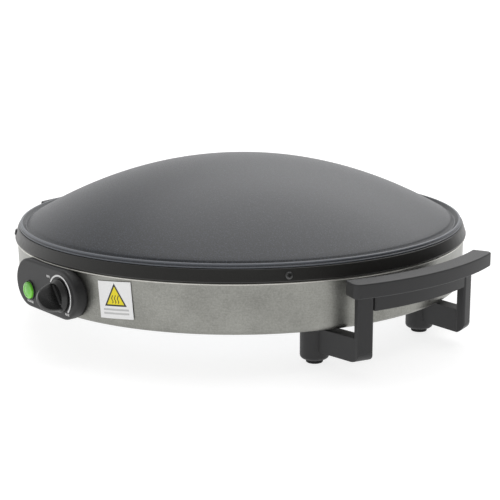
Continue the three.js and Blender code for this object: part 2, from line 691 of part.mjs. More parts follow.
function knob() {
  // Built pointing along +X in its own frame, standing on z = 0, with its hub below.
  const base = turned([
    [0, -KNOB_HUB_LENGTH],
    [KNOB_HUB_RADIUS, -KNOB_HUB_LENGTH],
    [KNOB_HUB_RADIUS, 0],
    [KNOB_BASE_RADIUS, 0],
    [KNOB_BASE_RADIUS, 1.4],
    [KNOB_TOP_RADIUS, KNOB_BASE_HEIGHT],
    [0, KNOB_BASE_HEIGHT],
  ], 24);
  const blade = new THREE.Shape();
  for (let degrees = 0; degrees <= 180; degrees += 15) {
    const [across, up] = bladePoint(degrees);
    if (degrees === 0) blade.moveTo(across, up);
    else blade.lineTo(across, up);
  }
  blade.closePath();
  const plate = prism(blade, -KNOB_BLADE_WIDTH / 2, KNOB_BLADE_WIDTH / 2).rotateX(Math.PI / 2);
  const bore = rod(SHAFT_RADIUS + GAP, -KNOB_HUB_LENGTH - 1, SHAFT_GRIP + GAP);
  return cut(join(base, plate), bore);
}
const knobPiece = knob().rotateZ(KNOB_REST_ANGLE * DEG).translate(0, 0, KNOB_BACK);
add('thermostat_knob', forward(knobPiece).translate(DIAL_X, 0, DIAL_Z), glossPlastic());

// ---- Heat reflector on four posts ----
const CAPILLARY_PASS = polar(100, -60);
const reflector = turned([
  [0, REFLECTOR_Z],
  [REFLECTOR_FLAT_RADIUS, REFLECTOR_Z],
  [REFLECTOR_RADIUS, COLLAR_TOP_Z - 1],
  [REFLECTOR_RADIUS, COLLAR_TOP_Z],
  [REFLECTOR_FLAT_RADIUS - 0.4, REFLECTOR_TOP_Z],
  [0, REFLECTOR_TOP_Z],
]);
const reflectorHoles = [
  ...WIRE_PASS_ANGLES.map((angle) => {
    const at = polar(WIRE_PASS_RADIUS, angle);
    return rod(6, REFLECTOR_Z - 3, REFLECTOR_Z + 4).translate(at.x, at.y, 0);
  }),
  rod(4, REFLECTOR_Z - 3, REFLECTOR_Z + 4).translate(CAPILLARY_PASS.x, CAPILLARY_PASS.y, 0),
];
add('heat_reflector', cut(reflector, ...reflectorHoles), zincSteel());

REFLECTOR_POST_ANGLES.forEach((angle, i) => {
  const at = polar(REFLECTOR_POST_RADIUS, angle);
  const post = rod(4, COVER_TOP_Z + GAP, REFLECTOR_Z - GAP, 12).translate(at.x, at.y, 0);
  add(`reflector_post_${i + 1}`, post, zincSteel());
});

// ---- Heating element: two rings of one sheathed tube that follow the dome ----
const elementZ = (r) => domeUnderZ(r) - ELEMENT_DROP;

function elementRoute() {
  const points = [];
  const [endA, endB] = WIRE_PASS_ANGLES;
  points.push(polar(WIRE_PASS_RADIUS, endA, REFLECTOR_Z + 8));
  points.push(polar(WIRE_PASS_RADIUS + 3, endA + 1, elementZ(OUTER_RING) - 8));
  for (let degrees = endA + 10; degrees <= 380; degrees += 18) {
    points.push(polar(OUTER_RING, degrees, elementZ(OUTER_RING)));
  }
  points.push(polar(OUTER_RING - 16, 396, elementZ(OUTER_RING - 16)));
  points.push(polar(INNER_RING + 12, 401, elementZ(INNER_RING + 12)));
  for (let degrees = 388; degrees >= 122; degrees -= 22) {
    points.push(polar(INNER_RING, degrees, elementZ(INNER_RING)));
  }
  points.push(polar(INNER_RING + 6, 104, elementZ(INNER_RING + 8)));
  points.push(polar(WIRE_PASS_RADIUS - 12, endB + 8, elementZ(WIRE_PASS_RADIUS - 8)));
  points.push(polar(WIRE_PASS_RADIUS, endB, REFLECTOR_Z + 16));
  points.push(polar(WIRE_PASS_RADIUS, endB, REFLECTOR_Z + 8));
  return points;
}
add('heating_element', tube(elementRoute(), ELEMENT_RADIUS, 6, 84), zincSteel());

WIRE_PASS_ANGLES.forEach((angle, i) => {
  const at = polar(WIRE_PASS_RADIUS, angle);
  const piece = turned([
    [0, REFLECTOR_Z - 6],
    [1.2, REFLECTOR_Z - 6],
    [1.2, REFLECTOR_Z - 2],
    [4.2, REFLECTOR_Z - 2],
    [4.2, REFLECTOR_Z + 6],
    [0, REFLECTOR_Z + 6],
  ], 16);
  add(`element_terminal_${i + 1}`, piece.translate(at.x, at.y, 0), ceramic());
});

CLAMP_ANGLES.forEach((angle, i) => {
  // A strip that stands on the reflector and carries the outer ring in a notch.
  const top = elementZ(OUTER_RING) + 5.5;
  const half = CLAMP_SHEET / 2;
  const strip = box(OUTER_RING - 10, OUTER_RING + 8, -half, half, REFLECTOR_TOP_Z + GAP, top);
  const notch = rod(ELEMENT_RADIUS + 0.9, -4, 4, 12).rotateX(Math.PI / 2);
  notch.translate(OUTER_RING, 0, elementZ(OUTER_RING));
  const mouth = box(OUTER_RING - 3, OUTER_RING + 3, -4, 4, elementZ(OUTER_RING), top + 4);
  add(`element_clamp_${i + 1}`, cut(strip, notch, mouth).rotateZ(angle * DEG), zincSteel());
});

// ---- Temperature bulb, its clip and capillary ----
const bulbMiddle = polar(50, BULB_ANGLE, domeUnderZ(50) - 11);
const bulb = rod(BULB_RADIUS, -BULB_HALF_LENGTH, BULB_HALF_LENGTH, 12);
bulb.rotateX(Math.PI / 2).rotateZ(BULB_ANGLE * DEG);
add('capillary_bulb', bulb.translate(bulbMiddle.x, bulbMiddle.y, bulbMiddle.z), brass());

const clip = cut(
  join(box(-5, 5, -4, 4, -3.6, 3.6), box(-0.6, 0.6, -4, 4, -46, 0)),
  rod(BULB_RADIUS + GAP, -8, 8, 12).rotateX(Math.PI / 2),
  box(-1.6, 1.6, -8, 8, 1, 8),
);
const clipDrop = bulbMiddle.z - (REFLECTOR_TOP_Z + GAP);
const clipTrim = box(-9, 9, -9, 9, -60, -clipDrop);
const clipPiece = cut(clip, clipTrim).rotateZ(BULB_ANGLE * DEG);
add('bulb_clip', clipPiece.translate(bulbMiddle.x, bulbMiddle.y, bulbMiddle.z), zincSteel());

const upwards = new THREE.Vector3(0, 0, 1);
const bulbAxis = new THREE.Vector3(0, -1, 0).applyAxisAngle(upwards, BULB_ANGLE * DEG);
const bulbEnd = bulbMiddle.clone().addScaledVector(bulbAxis, BULB_HALF_LENGTH + 0.5);
const capillaryRoute = [
  bulbEnd,
  bulbEnd.clone().addScaledVector(bulbAxis, 3),
  bulbEnd.clone().addScaledVector(bulbAxis, 5).add(new THREE.Vector3(0, 0, -18)),
  new THREE.Vector3(CAPILLARY_PASS.x, CAPILLARY_PASS.y, REFLECTOR_Z + 14),
  new THREE.Vector3(CAPILLARY_PASS.x, CAPILLARY_PASS.y, REFLECTOR_Z - 6),
  new THREE.Vector3(44, -112, 55),
  new THREE.Vector3(34, -140, 52),
  new THREE.Vector3(28, -THERMOSTAT_BACK + GAP, 52),
];
add('capillary_tube', tube(capillaryRoute, CAPILLARY_RADIUS, 4, 26), brass());

// ---- Terminal block, fuse, earth screw and wires ----
const block = box(-20, 20, 120, 136, COVER_TOP_Z + GAP, BLOCK_TOP_Z);
add('terminal_block', cut(block, box(-30, 30, 125, 131, 46, 60)), ceramic());

const earth = screw(4, 3, 2, 2.5).translate(-50, 110, COVER_TOP_Z + GAP + 3);
add('earth_screw', earth, brass());

const fuse = turned([
  [0, -FUSE_HALF_LENGTH],
  [FUSE_LEAD_RADIUS, -FUSE_HALF_LENGTH],
  [FUSE_LEAD_RADIUS, -6],
  [FUSE_RADIUS, -6],
  [FUSE_RADIUS, 6],
  [FUSE_LEAD_RADIUS, 6],
  [FUSE_LEAD_RADIUS, FUSE_HALF_LENGTH],
  [0, FUSE_HALF_LENGTH],
], 12).rotateY(Math.PI / 2).translate(60, FUSE_Y, FUSE_Z);
add('thermal_fuse', fuse, zincSteel());

function upToTerminal(i) {
  // The last stretch of a wire, straight up to an element terminal.
  const end = polar(WIRE_PASS_RADIUS, WIRE_PASS_ANGLES[i], REFLECTOR_Z - 6 - GAP - 0.2);
  return [end.clone().add(new THREE.Vector3(0, 0, -5)), end];
}
const wires = {
  wire_neutral: { color: 0x2b5fa8, route: [
    new THREE.Vector3(-12, 134, BLOCK_TOP_Z + GAP + WIRE_RADIUS),
    new THREE.Vector3(-14, 132, 56),
    new THREE.Vector3(-18, 120, 55),
    ...upToTerminal(0),
  ] },
  wire_live: { color: 0x7a4a24, route: [
    new THREE.Vector3(12, 134, BLOCK_TOP_Z + GAP + WIRE_RADIUS),
    new THREE.Vector3(16, 146, 54),
    new THREE.Vector3(60, 132, 52),
    new THREE.Vector3(110, 60, 48),
    new THREE.Vector3(116, -30, 46),
    new THREE.Vector3(70, -130, 46),
    new THREE.Vector3(DIAL_X + 12, -THERMOSTAT_BACK + 6, 48),
    new THREE.Vector3(DIAL_X + 10, -THERMOSTAT_BACK + GAP + 1, 48),
  ] },
  wire_load_front: { color: 0xb33a2a, route: [
    new THREE.Vector3(DIAL_X + 3, -THERMOSTAT_BACK + GAP + 1, 44),
    new THREE.Vector3(DIAL_X + 4, -150, 44),
    new THREE.Vector3(70, -70, 44),
    new THREE.Vector3(98, 40, 45),
    new THREE.Vector3(90, 90, 47),
    new THREE.Vector3(79, FUSE_Y, FUSE_Z),
  ] },
  wire_load_rear: { color: 0xb33a2a, route: [
    new THREE.Vector3(41, FUSE_Y, FUSE_Z),
    new THREE.Vector3(34, 101, 49),
    new THREE.Vector3(24, 106, 51),
    ...upToTerminal(1),
  ] },
  wire_lamp: { color: 0x3a3a3a, route: [
    new THREE.Vector3(LAMP_X, -FACE_OUT + 34, LAMP_Z),
    new THREE.Vector3(LAMP_X, -150, 46),
    new THREE.Vector3(-10, -140, 44),
    new THREE.Vector3(DIAL_X - 9, -148, 43),
    new THREE.Vector3(DIAL_X - 9, -THERMOSTAT_BACK + GAP + 1, 43),
  ] },
};
for (const [name, wire] of Object.entries(wires)) {
  add(name, tube(wire.route, WIRE_RADIUS, 5, 18), silicone(wire.color));
}

// ---- Cord gland at the back of the drum ----
const glandNeck = GLAND_RADIUS - 2 - GAP;
const gland = turned([
  [GLAND_BORE_RADIUS, DRUM_RADIUS - GLAND_INSIDE],
  [glandNeck, DRUM_RADIUS - GLAND_INSIDE],
  [glandNeck, DRUM_RADIUS + GAP],
  [GLAND_RADIUS, DRUM_RADIUS + GAP],
  [GLAND_RADIUS, DRUM_RADIUS + 3],
  [GLAND_RADIUS - 3, DRUM_RADIUS + GLAND_PROUD],
  [GLAND_BORE_RADIUS, DRUM_RADIUS + GLAND_PROUD],
  [GLAND_BORE_RADIUS, DRUM_RADIUS - GLAND_INSIDE],
], 16).rotateY(Math.PI / 2).rotateZ(GLAND_ANGLE * DEG);
add('cord_gland', gland.translate(0, 0, GLAND_Z), rubber());

// ---- Heat label on the drum, a little turned as it is stuck on by hand ----
function heatLabel() {
  const tilt = LABEL_TILT * DEG;
  const sheet = new THREE.BoxGeometry(LABEL_WIDTH, LABEL_HEIGHT, LABEL_THICKNESS, 10, 1, 1);
  const p = sheet.attributes.position;
  for (let i = 0; i < p.count; i += 1) {
    const across = p.getX(i) * Math.cos(tilt) - p.getY(i) * Math.sin(tilt);
    const up = p.getX(i) * Math.sin(tilt) + p.getY(i) * Math.cos(tilt);
    const radius = DRUM_RADIUS + GAP + LABEL_THICKNESS / 2 + p.getZ(i);
    const angle = LABEL_ANGLE * DEG + across / DRUM_RADIUS;
    p.setXYZ(i, radius * Math.cos(angle), radius * Math.sin(angle), LABEL_Z + up);
  }
  return pointOut(sheet);
}
add('heat_label', heatLabel(), paper());

export default group;
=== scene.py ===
# %% [markdown]
# # An electric dome griddle, built round its CAD frame
#
# A flatbread griddle of this kind is a domed non-stick plate on a round steel drum. A black skirt
# ring covers the joint between them, a small housing at the front carries a dial and a lamp, and a
# curved handle stands on two legs at each side. The CAD model is loaded first and never changes.
# Everything after that gives it fine surfaces: rounded edges, a pressed lip, screws with a cross
# recess, printed marks, and a finish for every material.

# %% Load the CAD frame
import json
import math

import bpy
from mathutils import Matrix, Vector


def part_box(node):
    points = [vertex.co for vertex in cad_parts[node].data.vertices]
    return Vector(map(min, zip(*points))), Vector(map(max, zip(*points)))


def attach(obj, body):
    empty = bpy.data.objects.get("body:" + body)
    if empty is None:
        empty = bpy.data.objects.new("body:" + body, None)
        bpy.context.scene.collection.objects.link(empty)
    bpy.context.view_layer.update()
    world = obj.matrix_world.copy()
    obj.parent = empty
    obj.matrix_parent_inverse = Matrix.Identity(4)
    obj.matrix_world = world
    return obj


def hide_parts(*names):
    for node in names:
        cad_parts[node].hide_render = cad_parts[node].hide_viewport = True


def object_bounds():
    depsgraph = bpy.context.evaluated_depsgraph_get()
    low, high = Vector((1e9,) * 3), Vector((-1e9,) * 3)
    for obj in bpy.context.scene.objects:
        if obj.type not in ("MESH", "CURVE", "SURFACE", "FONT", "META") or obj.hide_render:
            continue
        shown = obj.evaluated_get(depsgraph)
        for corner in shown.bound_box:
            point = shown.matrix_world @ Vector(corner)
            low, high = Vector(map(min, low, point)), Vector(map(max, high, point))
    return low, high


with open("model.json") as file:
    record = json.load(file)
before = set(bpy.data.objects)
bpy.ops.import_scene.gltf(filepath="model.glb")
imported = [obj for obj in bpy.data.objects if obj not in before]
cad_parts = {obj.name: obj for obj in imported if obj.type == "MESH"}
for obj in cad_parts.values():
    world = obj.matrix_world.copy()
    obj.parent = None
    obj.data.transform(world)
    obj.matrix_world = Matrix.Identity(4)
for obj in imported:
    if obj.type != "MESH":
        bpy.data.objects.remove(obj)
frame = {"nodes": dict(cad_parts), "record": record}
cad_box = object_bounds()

MM = 0.001
cad_size = [round(high - low, 4) for low, high in zip(*cad_box)]
print("CAD nodes:", len(frame["nodes"]), "overall size in metres:", cad_size)

# %% [markdown]
# ## Where things are
#
# The round pieces share one upright axis, which is a little behind the middle of the whole model
# because the dial stands out at the front. It is simplest to draw every piece in millimetres with
# that axis as its own origin, and to shrink it to metres and put it in place when it is finished.
# `reach` gives a CAD node's box in the same drawing units.

# %% The drum's axis, and a ruler for the CAD nodes
plate_low, plate_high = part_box("dome_plate")
AXIS_Y = (plate_low.y + plate_high.y) / 2
AXIS = Vector((0, AXIS_Y, 0))


def reach(node):
    low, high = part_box(node)
    return (low - AXIS) / MM, (high - AXIS) / MM


print("drum axis at y =", round(AXIS_Y, 4))

# %% [markdown]
# ## Drawing by hand, in code
#
# An operator works on whatever is selected, so each piece starts from nothing selected. A turned
# piece is drawn as its half section: one point is extruded from corner to corner, and the outline
# is spun round the axis. `settle` does what Apply > All Transforms does by hand, so that the place
# ends up in the mesh and the object itself stays at the origin.

# %% Selecting, drawing and settling


def select_only(*pieces):
    if bpy.context.mode != "OBJECT":
        bpy.ops.object.mode_set(mode="OBJECT")
    bpy.ops.object.select_all(action="DESELECT")
    for piece in pieces:
        piece.select_set(True)
    if pieces:
        bpy.context.view_layer.objects.active = pieces[0]


def start_outline(name, point):
    """A mesh of one vertex: a plane merged into its own centre and moved to the point."""
    select_only()
    bpy.ops.mesh.primitive_plane_add(size=1)
    piece = bpy.context.active_object
    piece.name = piece.data.name = name
    bpy.ops.object.mode_set(mode="EDIT")
    bpy.ops.mesh.select_all(action="SELECT")
    bpy.ops.mesh.merge(type="CENTER")
    bpy.ops.transform.translate(value=point)
    return piece


def draw_outline(name, points, closed):
    """Extrudes one vertex along the points, and joins the last to the first if closed."""
    corners = [Vector(point) for point in points]
    piece = start_outline(name, corners[0])
    for here, there in zip(corners, corners[1:]):
        bpy.ops.mesh.extrude_region_move(TRANSFORM_OT_translate={"value": there - here})
    bpy.ops.mesh.select_all(action="SELECT")
    if closed:
        bpy.ops.mesh.edge_face_add()
    return piece


def tidy_mesh(tolerance=0.0005):
    """In edit mode: merges doubles and turns all faces outwards."""
    bpy.ops.mesh.select_all(action="SELECT")
    bpy.ops.mesh.remove_doubles(threshold=tolerance)
    bpy.ops.mesh.normals_make_consistent(inside=False)
    bpy.ops.object.mode_set(mode="OBJECT")


def lathe(name, section, steps=192):
    """Spins a half section of (radius, z) corners all the way round the Z axis."""
    corners = list(section)
    if corners[0][0] > 0:
        corners.append(corners[0])
    piece = draw_outline(name, [(r, 0, z) for r, z in corners], closed=False)
    bpy.ops.mesh.remove_doubles(threshold=0.0005)
    bpy.ops.mesh.spin(steps=steps, angle=2 * math.pi, center=(0, 0, 0), axis=(0, 0, 1))
    tidy_mesh()
    return piece


def extrude_outline(name, points, depth):
    """Fills an outline and extrudes it by a vector."""
    piece = draw_outline(name, points, closed=True)
    bpy.ops.mesh.extrude_region_move(TRANSFORM_OT_translate={"value": depth})
    tidy_mesh()
    return piece


def arc(centre, radius, start, end, steps):
    """Points of an arc as (across, up) pairs; angles in degrees."""
    turns = [math.radians(start + (end - start) * i / steps) for i in range(steps + 1)]
    return [(centre[0] + radius * math.cos(t), centre[1] + radius * math.sin(t)) for t in turns]


def apply_modifier(piece, kind, **settings):
    select_only(piece)
    made = piece.modifiers.new(kind.title(), kind)
    for name, value in settings.items():
        setattr(made, name, value)
    bpy.ops.object.modifier_apply(modifier=made.name)
    return piece


def bevel(piece, width, segments=3, angle=30):
    return apply_modifier(piece, "BEVEL", width=width, segments=segments,
                          limit_method="ANGLE", angle_limit=math.radians(angle),
                          harden_normals=False, use_clamp_overlap=True)


def combine(piece, other, operation="UNION"):
    """A boolean between two pieces; the second one is used up."""
    apply_modifier(piece, "BOOLEAN", operation=operation, object=other, solver="EXACT")
    bpy.data.objects.remove(other)
    select_only(piece)
    bpy.ops.object.mode_set(mode="EDIT")
    tidy_mesh()
    if not piece.data.polygons:
        raise RuntimeError(f"the boolean emptied {piece.name}")
    return piece


def place(piece, turn=(0, 0, 0), at=(0, 0, 0)):
    """Turns a piece, in degrees, and moves it, still in drawing millimetres."""
    select_only(piece)
    piece.rotation_euler = [math.radians(a) for a in turn]
    piece.location = at
    bpy.ops.object.transform_apply(location=True, rotation=True, scale=True)
    return piece


def settle(piece, body, finish, nodes=(), smooth=35, flat_faces=False):
    """Millimetres to metres, on to the drum's axis, and into the object as a finished piece."""
    select_only(piece)
    piece.scale = (MM, MM, MM)
    piece.location = AXIS
    bpy.ops.object.transform_apply(location=True, rotation=True, scale=True)
    bpy.ops.object.shade_smooth_by_angle(angle=math.radians(smooth))
    if flat_faces:
        apply_modifier(piece, "WEIGHTED_NORMAL", keep_sharp=True)
    piece.data.materials.clear()
    piece.data.materials.append(finish)
    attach(piece, body)
    if nodes:
        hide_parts(*nodes)
    print(piece.name, "stands for", list(nodes), "with", len(piece.data.polygons), "faces")
    return piece


def twin(piece, name):
    """A copy with a mesh of its own."""
    copy = piece.copy()
    copy.data = piece.data.copy()
    copy.name = copy.data.name = name
    bpy.context.scene.collection.objects.link(copy)
    return copy


# %% [markdown]
# ## Shader maths as sums
#
# A procedural finish is a small program of nodes. Written one node at a time it is long and hard
# to read, so `Wire` wraps an output socket and lets `+`, `-`, `*` and `/` add the Math nodes, and
# `Finish.node` makes every other kind.

# %% A socket that can be used in sums, and a material under construction


class Wire:
    def __init__(self, finish, socket):
        self.finish = finish
        self.socket = socket

    def __add__(self, other):
        return self.finish.maths("ADD", self, other)

    def __sub__(self, other):
        return self.finish.maths("SUBTRACT", self, other)

    def __rsub__(self, other):
        return self.finish.maths("SUBTRACT", other, self)

    def __mul__(self, other):
        return self.finish.maths("MULTIPLY", self, other)

    def __truediv__(self, other):
        return self.finish.maths("DIVIDE", self, other)

    __radd__ = __add__
    __rmul__ = __mul__


class Finish:
    def __init__(self, name, library=None):
        self.material = (bpy.data.materials if library is None else library).new(name)
        self.material.use_nodes = True
        self.tree = self.material.node_tree
        self.tree.nodes.clear()

    def node(self, kind, settings=None, values=(), output=0):
        made = self.tree.nodes.new(kind)
        for name, value in (settings or {}).items():
            if name == "stops":
                self.set_stops(made.color_ramp, value)
            else:
                setattr(made, name, value)
        pairs = values.items() if isinstance(values, dict) else enumerate(values)
        for name, value in pairs:
            if isinstance(value, Wire):
                self.tree.links.new(value.socket, made.inputs[name])
            else:
                made.inputs[name].default_value = value
        return Wire(self, made.outputs[output]) if made.outputs else None

    @staticmethod
    def set_stops(ramp, stops):
        while len(ramp.elements) < len(stops):
            ramp.elements.new(1.0)
        for element, (position, colour) in zip(ramp.elements, stops):
            element.position = position
            element.color = colour

    def maths(self, operation, first, second=0.0):
        return self.node("ShaderNodeMath", {"operation": operation}, [first, second])

    def place(self):
        return self.node("ShaderNodeTexCoord", output="Object")

    def parts(self, where):
        """The X, Y and Z of a vector, as three wires."""
        return [self.node("ShaderNodeSeparateXYZ", None, [where], output=axis) for axis in "XYZ"]

    def noise(self, where, scale, detail=3.0, roughness=0.5):
        values = {"Vector": where, "Scale": scale, "Detail": detail, "Roughness": roughness}
        return self.node("ShaderNodeTexNoise", None, values)

    def ramp(self, value, low, high, from_value=0.0, to_value=1.0):
        """Maps low..high to from_value..to_value and holds it outside."""
        values = {"Value": value, "From Min": low, "From Max": high,
                  "To Min": from_value, "To Max": to_value}
        return self.node("ShaderNodeMapRange", {"clamp": True}, values)

    def blend(self, share, first, second):
        """Mixes two colours."""
        return self.node("ShaderNodeMix", {"data_type": "RGBA"},
                         {0: share, 6: first, 7: second}, output=2)

    def bump(self, height, distance, strength=1.0):
        values = {"Height": height, "Distance": distance, "Strength": strength}
        return self.node("ShaderNodeBump", None, values)

    def surface(self, **values):
        """The Principled shader; keyword names use _ for a space."""
        named = {name.replace("_", " "): value for name, value in values.items()}
        shader = self.node("ShaderNodeBsdfPrincipled", None, named)
        self.node("ShaderNodeOutputMaterial", None, {"Surface": shader})
        return self.material


def grey(value, alpha=1.0):
    return (value, value, value, alpha)


# %% [markdown]
# ## Camera
#
# The camera stands in front and to the right, a little above the griddle, and looks slightly down
# with a long lens, as a catalogue picture does. It is level but for a third of a degree.

# %% Camera
CAMERA_FROM_AXIS = Vector((0.7578, -0.6418, 0.2838))
CAMERA_FORWARD = Vector((-0.7379, 0.6354, -0.2275))
CAMERA_ROLL = math.radians(-0.36)
CAMERA_LENS = 80.77


def point_camera(camera, place_at, forward, roll):
    ahead = forward.normalized()
    right = ahead.cross(Vector((0, 0, 1))).normalized()
    up = right.cross(ahead)
    turned_right = right * math.cos(roll) + up * math.sin(roll)
    turned_up = up * math.cos(roll) - right * math.sin(roll)
    for row in range(3):
        camera.matrix_world[row][0] = turned_right[row]
        camera.matrix_world[row][1] = turned_up[row]
        camera.matrix_world[row][2] = -ahead[row]
        camera.matrix_world[row][3] = place_at[row]


camera_data = bpy.data.cameras.new("catalogue_camera")
camera_data.lens = CAMERA_LENS
camera_data.sensor_width = 36
camera = bpy.data.objects.new("catalogue_camera", camera_data)
bpy.context.scene.collection.objects.link(camera)
point_camera(camera, CAMERA_FROM_AXIS + AXIS, CAMERA_FORWARD, CAMERA_ROLL)
bpy.context.scene.camera = camera
print("camera distance from the axis:", round(CAMERA_FROM_AXIS.length, 3))

# %% [markdown]
# ## Studio
#
# A pale floor carries the griddle, and a little light of its own keeps it white to the horizon. The
# light is one wide soft lamp, high behind the griddle, which lays the broad sheen on the dome. The
# surround is white behind and to the left, dim on the camera's side and nearly black to the right,
# as with a dark screen on that side of the table: dark pieces need something dark to mirror. Looked at
# directly, the surround is plain white.

# %% Floor
FLOOR_SIZE, FLOOR_GLOW = 60, 0.8


def floor_finish():
    finish = Finish("studio_floor")
    grain = finish.noise(finish.place(), 4.0)
    tint = finish.blend(grain, grey(0.37), grey(0.41))
    return finish.surface(Base_Color=tint, Roughness=0.9, Emission_Color=grey(1.0),
                          Emission_Strength=FLOOR_GLOW)


select_only()
bpy.ops.mesh.primitive_plane_add(size=FLOOR_SIZE)
floor = bpy.context.active_object
floor.name = "studio_floor"
floor.data.materials.append(floor_finish())

# %% Lights
bpy.context.scene.view_settings.view_transform = "Standard"
LAMP_STRENGTH = 1.6
LAMP_SPREAD = 70
LAMP_AZIMUTH, LAMP_HEIGHT = math.radians(112), math.radians(58)
SCREEN_AZIMUTH = math.radians(42)


def surround():
    """A white world with a dim camera side and a dark screen to the right."""
    finish = Finish("studio_surround", bpy.data.worlds)
    direction = finish.node("ShaderNodeTexCoord", output="Generated")

    def towards(x, y):
        return finish.node("ShaderNodeVectorMath", {"operation": "DOT_PRODUCT"},
                           [direction, Vector((x, y, 0)).normalized()], output="Value")

    away = towards(CAMERA_FORWARD.x, CAMERA_FORWARD.y)
    rightwards = towards(math.cos(SCREEN_AZIMUTH), math.sin(SCREEN_AZIMUTH))
    upward = finish.node("ShaderNodeSeparateXYZ", None, [direction], output="Z")
    side_light = finish.ramp(away, -0.9, 0.6, 0.42, 1.05)
    screen = finish.ramp(rightwards, 0.3, 0.75) * finish.ramp(upward, 0.6, 0.9, 1.0, 0.0)
    strength = side_light * (1 - screen * 0.93) * finish.ramp(upward, 0.25, 0.75, 1.0, 0.62)
    seen = finish.node("ShaderNodeLightPath", output="Is Camera Ray")
    strength = strength + seen * (1 - strength)
    light = finish.node("ShaderNodeBackground", None, {"Color": grey(1.0), "Strength": strength})
    finish.node("ShaderNodeOutputWorld", None, {"Surface": light})
    return finish.material


bpy.context.scene.world = surround()
studio_lamp = bpy.data.lights.new("studio_lamp", "SUN")
studio_lamp.energy = LAMP_STRENGTH
studio_lamp.angle = math.radians(LAMP_SPREAD)
studio_light = bpy.data.objects.new("studio_lamp", studio_lamp)
studio_light.rotation_euler = (0, math.pi / 2 - LAMP_HEIGHT, LAMP_AZIMUTH)
bpy.context.scene.collection.objects.link(studio_light)
print("lamp height in degrees:", round(math.degrees(LAMP_HEIGHT)))

# %% [markdown]
# ## Dome plate
#
# The plate is cast aluminium with a baked non-stick coating. The coating is a charcoal satin with a
# fine orange-peel grain, which breaks the sheen into tiny sparkles. The dome is almost a parabola, it
# turns down more steeply into a shallow valley, and a bead and a thin lip with a groove between them
# run round the edge. Their colour is made lighter as a painted highlight, which stops short of the
# groove. A lathe section gives the shape in one outline.

# %% Non-stick coating


def non_stick_finish():
    finish = Finish("non_stick_coating")
    where = finish.place()
    fine = finish.noise(where, 1100.0, detail=2.0)
    speck = finish.noise(where, 900.0, detail=2.0, roughness=0.7)
    cloud = finish.noise(where, 11.0, detail=3.0)
    sparkle = finish.ramp(speck, 0.50, 0.74)
    base = finish.blend(cloud, (0.010, 0.012, 0.016, 1), (0.018, 0.021, 0.027, 1))
    colour = finish.blend(sparkle, base, (0.062, 0.072, 0.096, 1))
    x, y, z = finish.parts(where)
    y = y - AXIS_Y
    from_axis = finish.maths("SQRT", x * x + y * y)
    # painted highlight: the bead and the lip are coloured lighter, but not near the groove between them
    rim_band = finish.ramp(from_axis, (RIM_RADIUS - 3.4) * MM, (RIM_RADIUS - 2.6) * MM)
    off_groove = finish.maths("ABSOLUTE", z - (RIM_BOTTOM + 1.7) * MM)
    wear_and_highlight = rim_band * finish.ramp(off_groove, 0.3 * MM, 0.9 * MM)
    colour = finish.blend(wear_and_highlight, colour, (0.13, 0.14, 0.16, 1))
    roughness = finish.ramp(fine * 0.5 + speck * 0.5, 0.35, 0.65, 0.34, 0.46)
    normal = finish.bump(fine * 0.5 + speck, 0.00012, 0.7)
    return finish.surface(Base_Color=colour, Roughness=roughness, Normal=normal, IOR=1.5)


low, high = reach("dome_plate")
RIM_RADIUS = high.x
RIM_BOTTOM, DOME_TOP = low.z, high.z
non_stick = non_stick_finish()

# %% Dome plate as a lathe section
DOME_POWER = 2.063
dome_base_radius = RIM_RADIUS - 6.7
dome_base_z = RIM_BOTTOM + 1.8
PLATE_THICKNESS = 4.5


def dome_height(radius):
    share = (radius / dome_base_radius) ** DOME_POWER
    return dome_base_z + (DOME_TOP - dome_base_z) * (1 - share)


def dome_section():
    shoulder = dome_base_radius - 3.4
    over = [shoulder * (i / 44) ** 0.8 for i in range(45)]
    outline = [(r, dome_height(r)) for r in over]
    brow = dome_height(shoulder)
    outline += [(shoulder + 0.5, brow - 0.37), (shoulder + 1.0, brow - 0.85), (shoulder + 2.3, brow - 2.4)]
    outline += arc((dome_base_radius + 0.5, RIM_BOTTOM + 1.9), 1.3, 215, 320, 8)
    outline += arc((RIM_RADIUS - 2.2, RIM_BOTTOM + 2.0), 1.4, 150, 5, 10)
    outline += [(RIM_RADIUS - 0.85, RIM_BOTTOM + 1.5), (RIM_RADIUS - 0.2, RIM_BOTTOM + 0.8)]
    outline += arc((RIM_RADIUS - 0.45, RIM_BOTTOM + 0.45), 0.45, 50, -80, 5)
    outline += [(dome_base_radius - 2.5, RIM_BOTTOM)]
    under = [dome_base_radius * (i / 12) ** 0.8 for i in range(11, -1, -1)]
    outline += [(r, dome_height(r) - PLATE_THICKNESS) for r in under]
    return outline


plate = lathe("dome_plate_cast", dome_section())
settle(plate, "root", non_stick, ["dome_plate"], smooth=40)

# %% [markdown]
# ## Skirt ring
#
# A pressed steel ring, stove-enamelled black, hides the joint. It leans out towards its lower edge,
# where the sheet is rolled to a small radius. Enamel is smoother and glossier than the coating, so it
# mirrors the room in soft streaks.

# %% Black enamel


def enamel_finish():
    finish = Finish("black_enamel")
    where = finish.place()
    peel = finish.noise(where, 320.0, detail=2.0)
    dust = finish.noise(where, 1500.0, detail=1.0)
    colour = finish.blend(dust, (0.011, 0.011, 0.010, 1), (0.024, 0.023, 0.021, 1))
    roughness = finish.ramp(peel, 0.3, 0.7, 0.32, 0.40)
    normal = finish.bump(peel + dust * 0.3, 0.00006, 0.5)
    return finish.surface(Base_Color=colour, Roughness=roughness, Normal=normal, IOR=1.5)


black_enamel = enamel_finish()

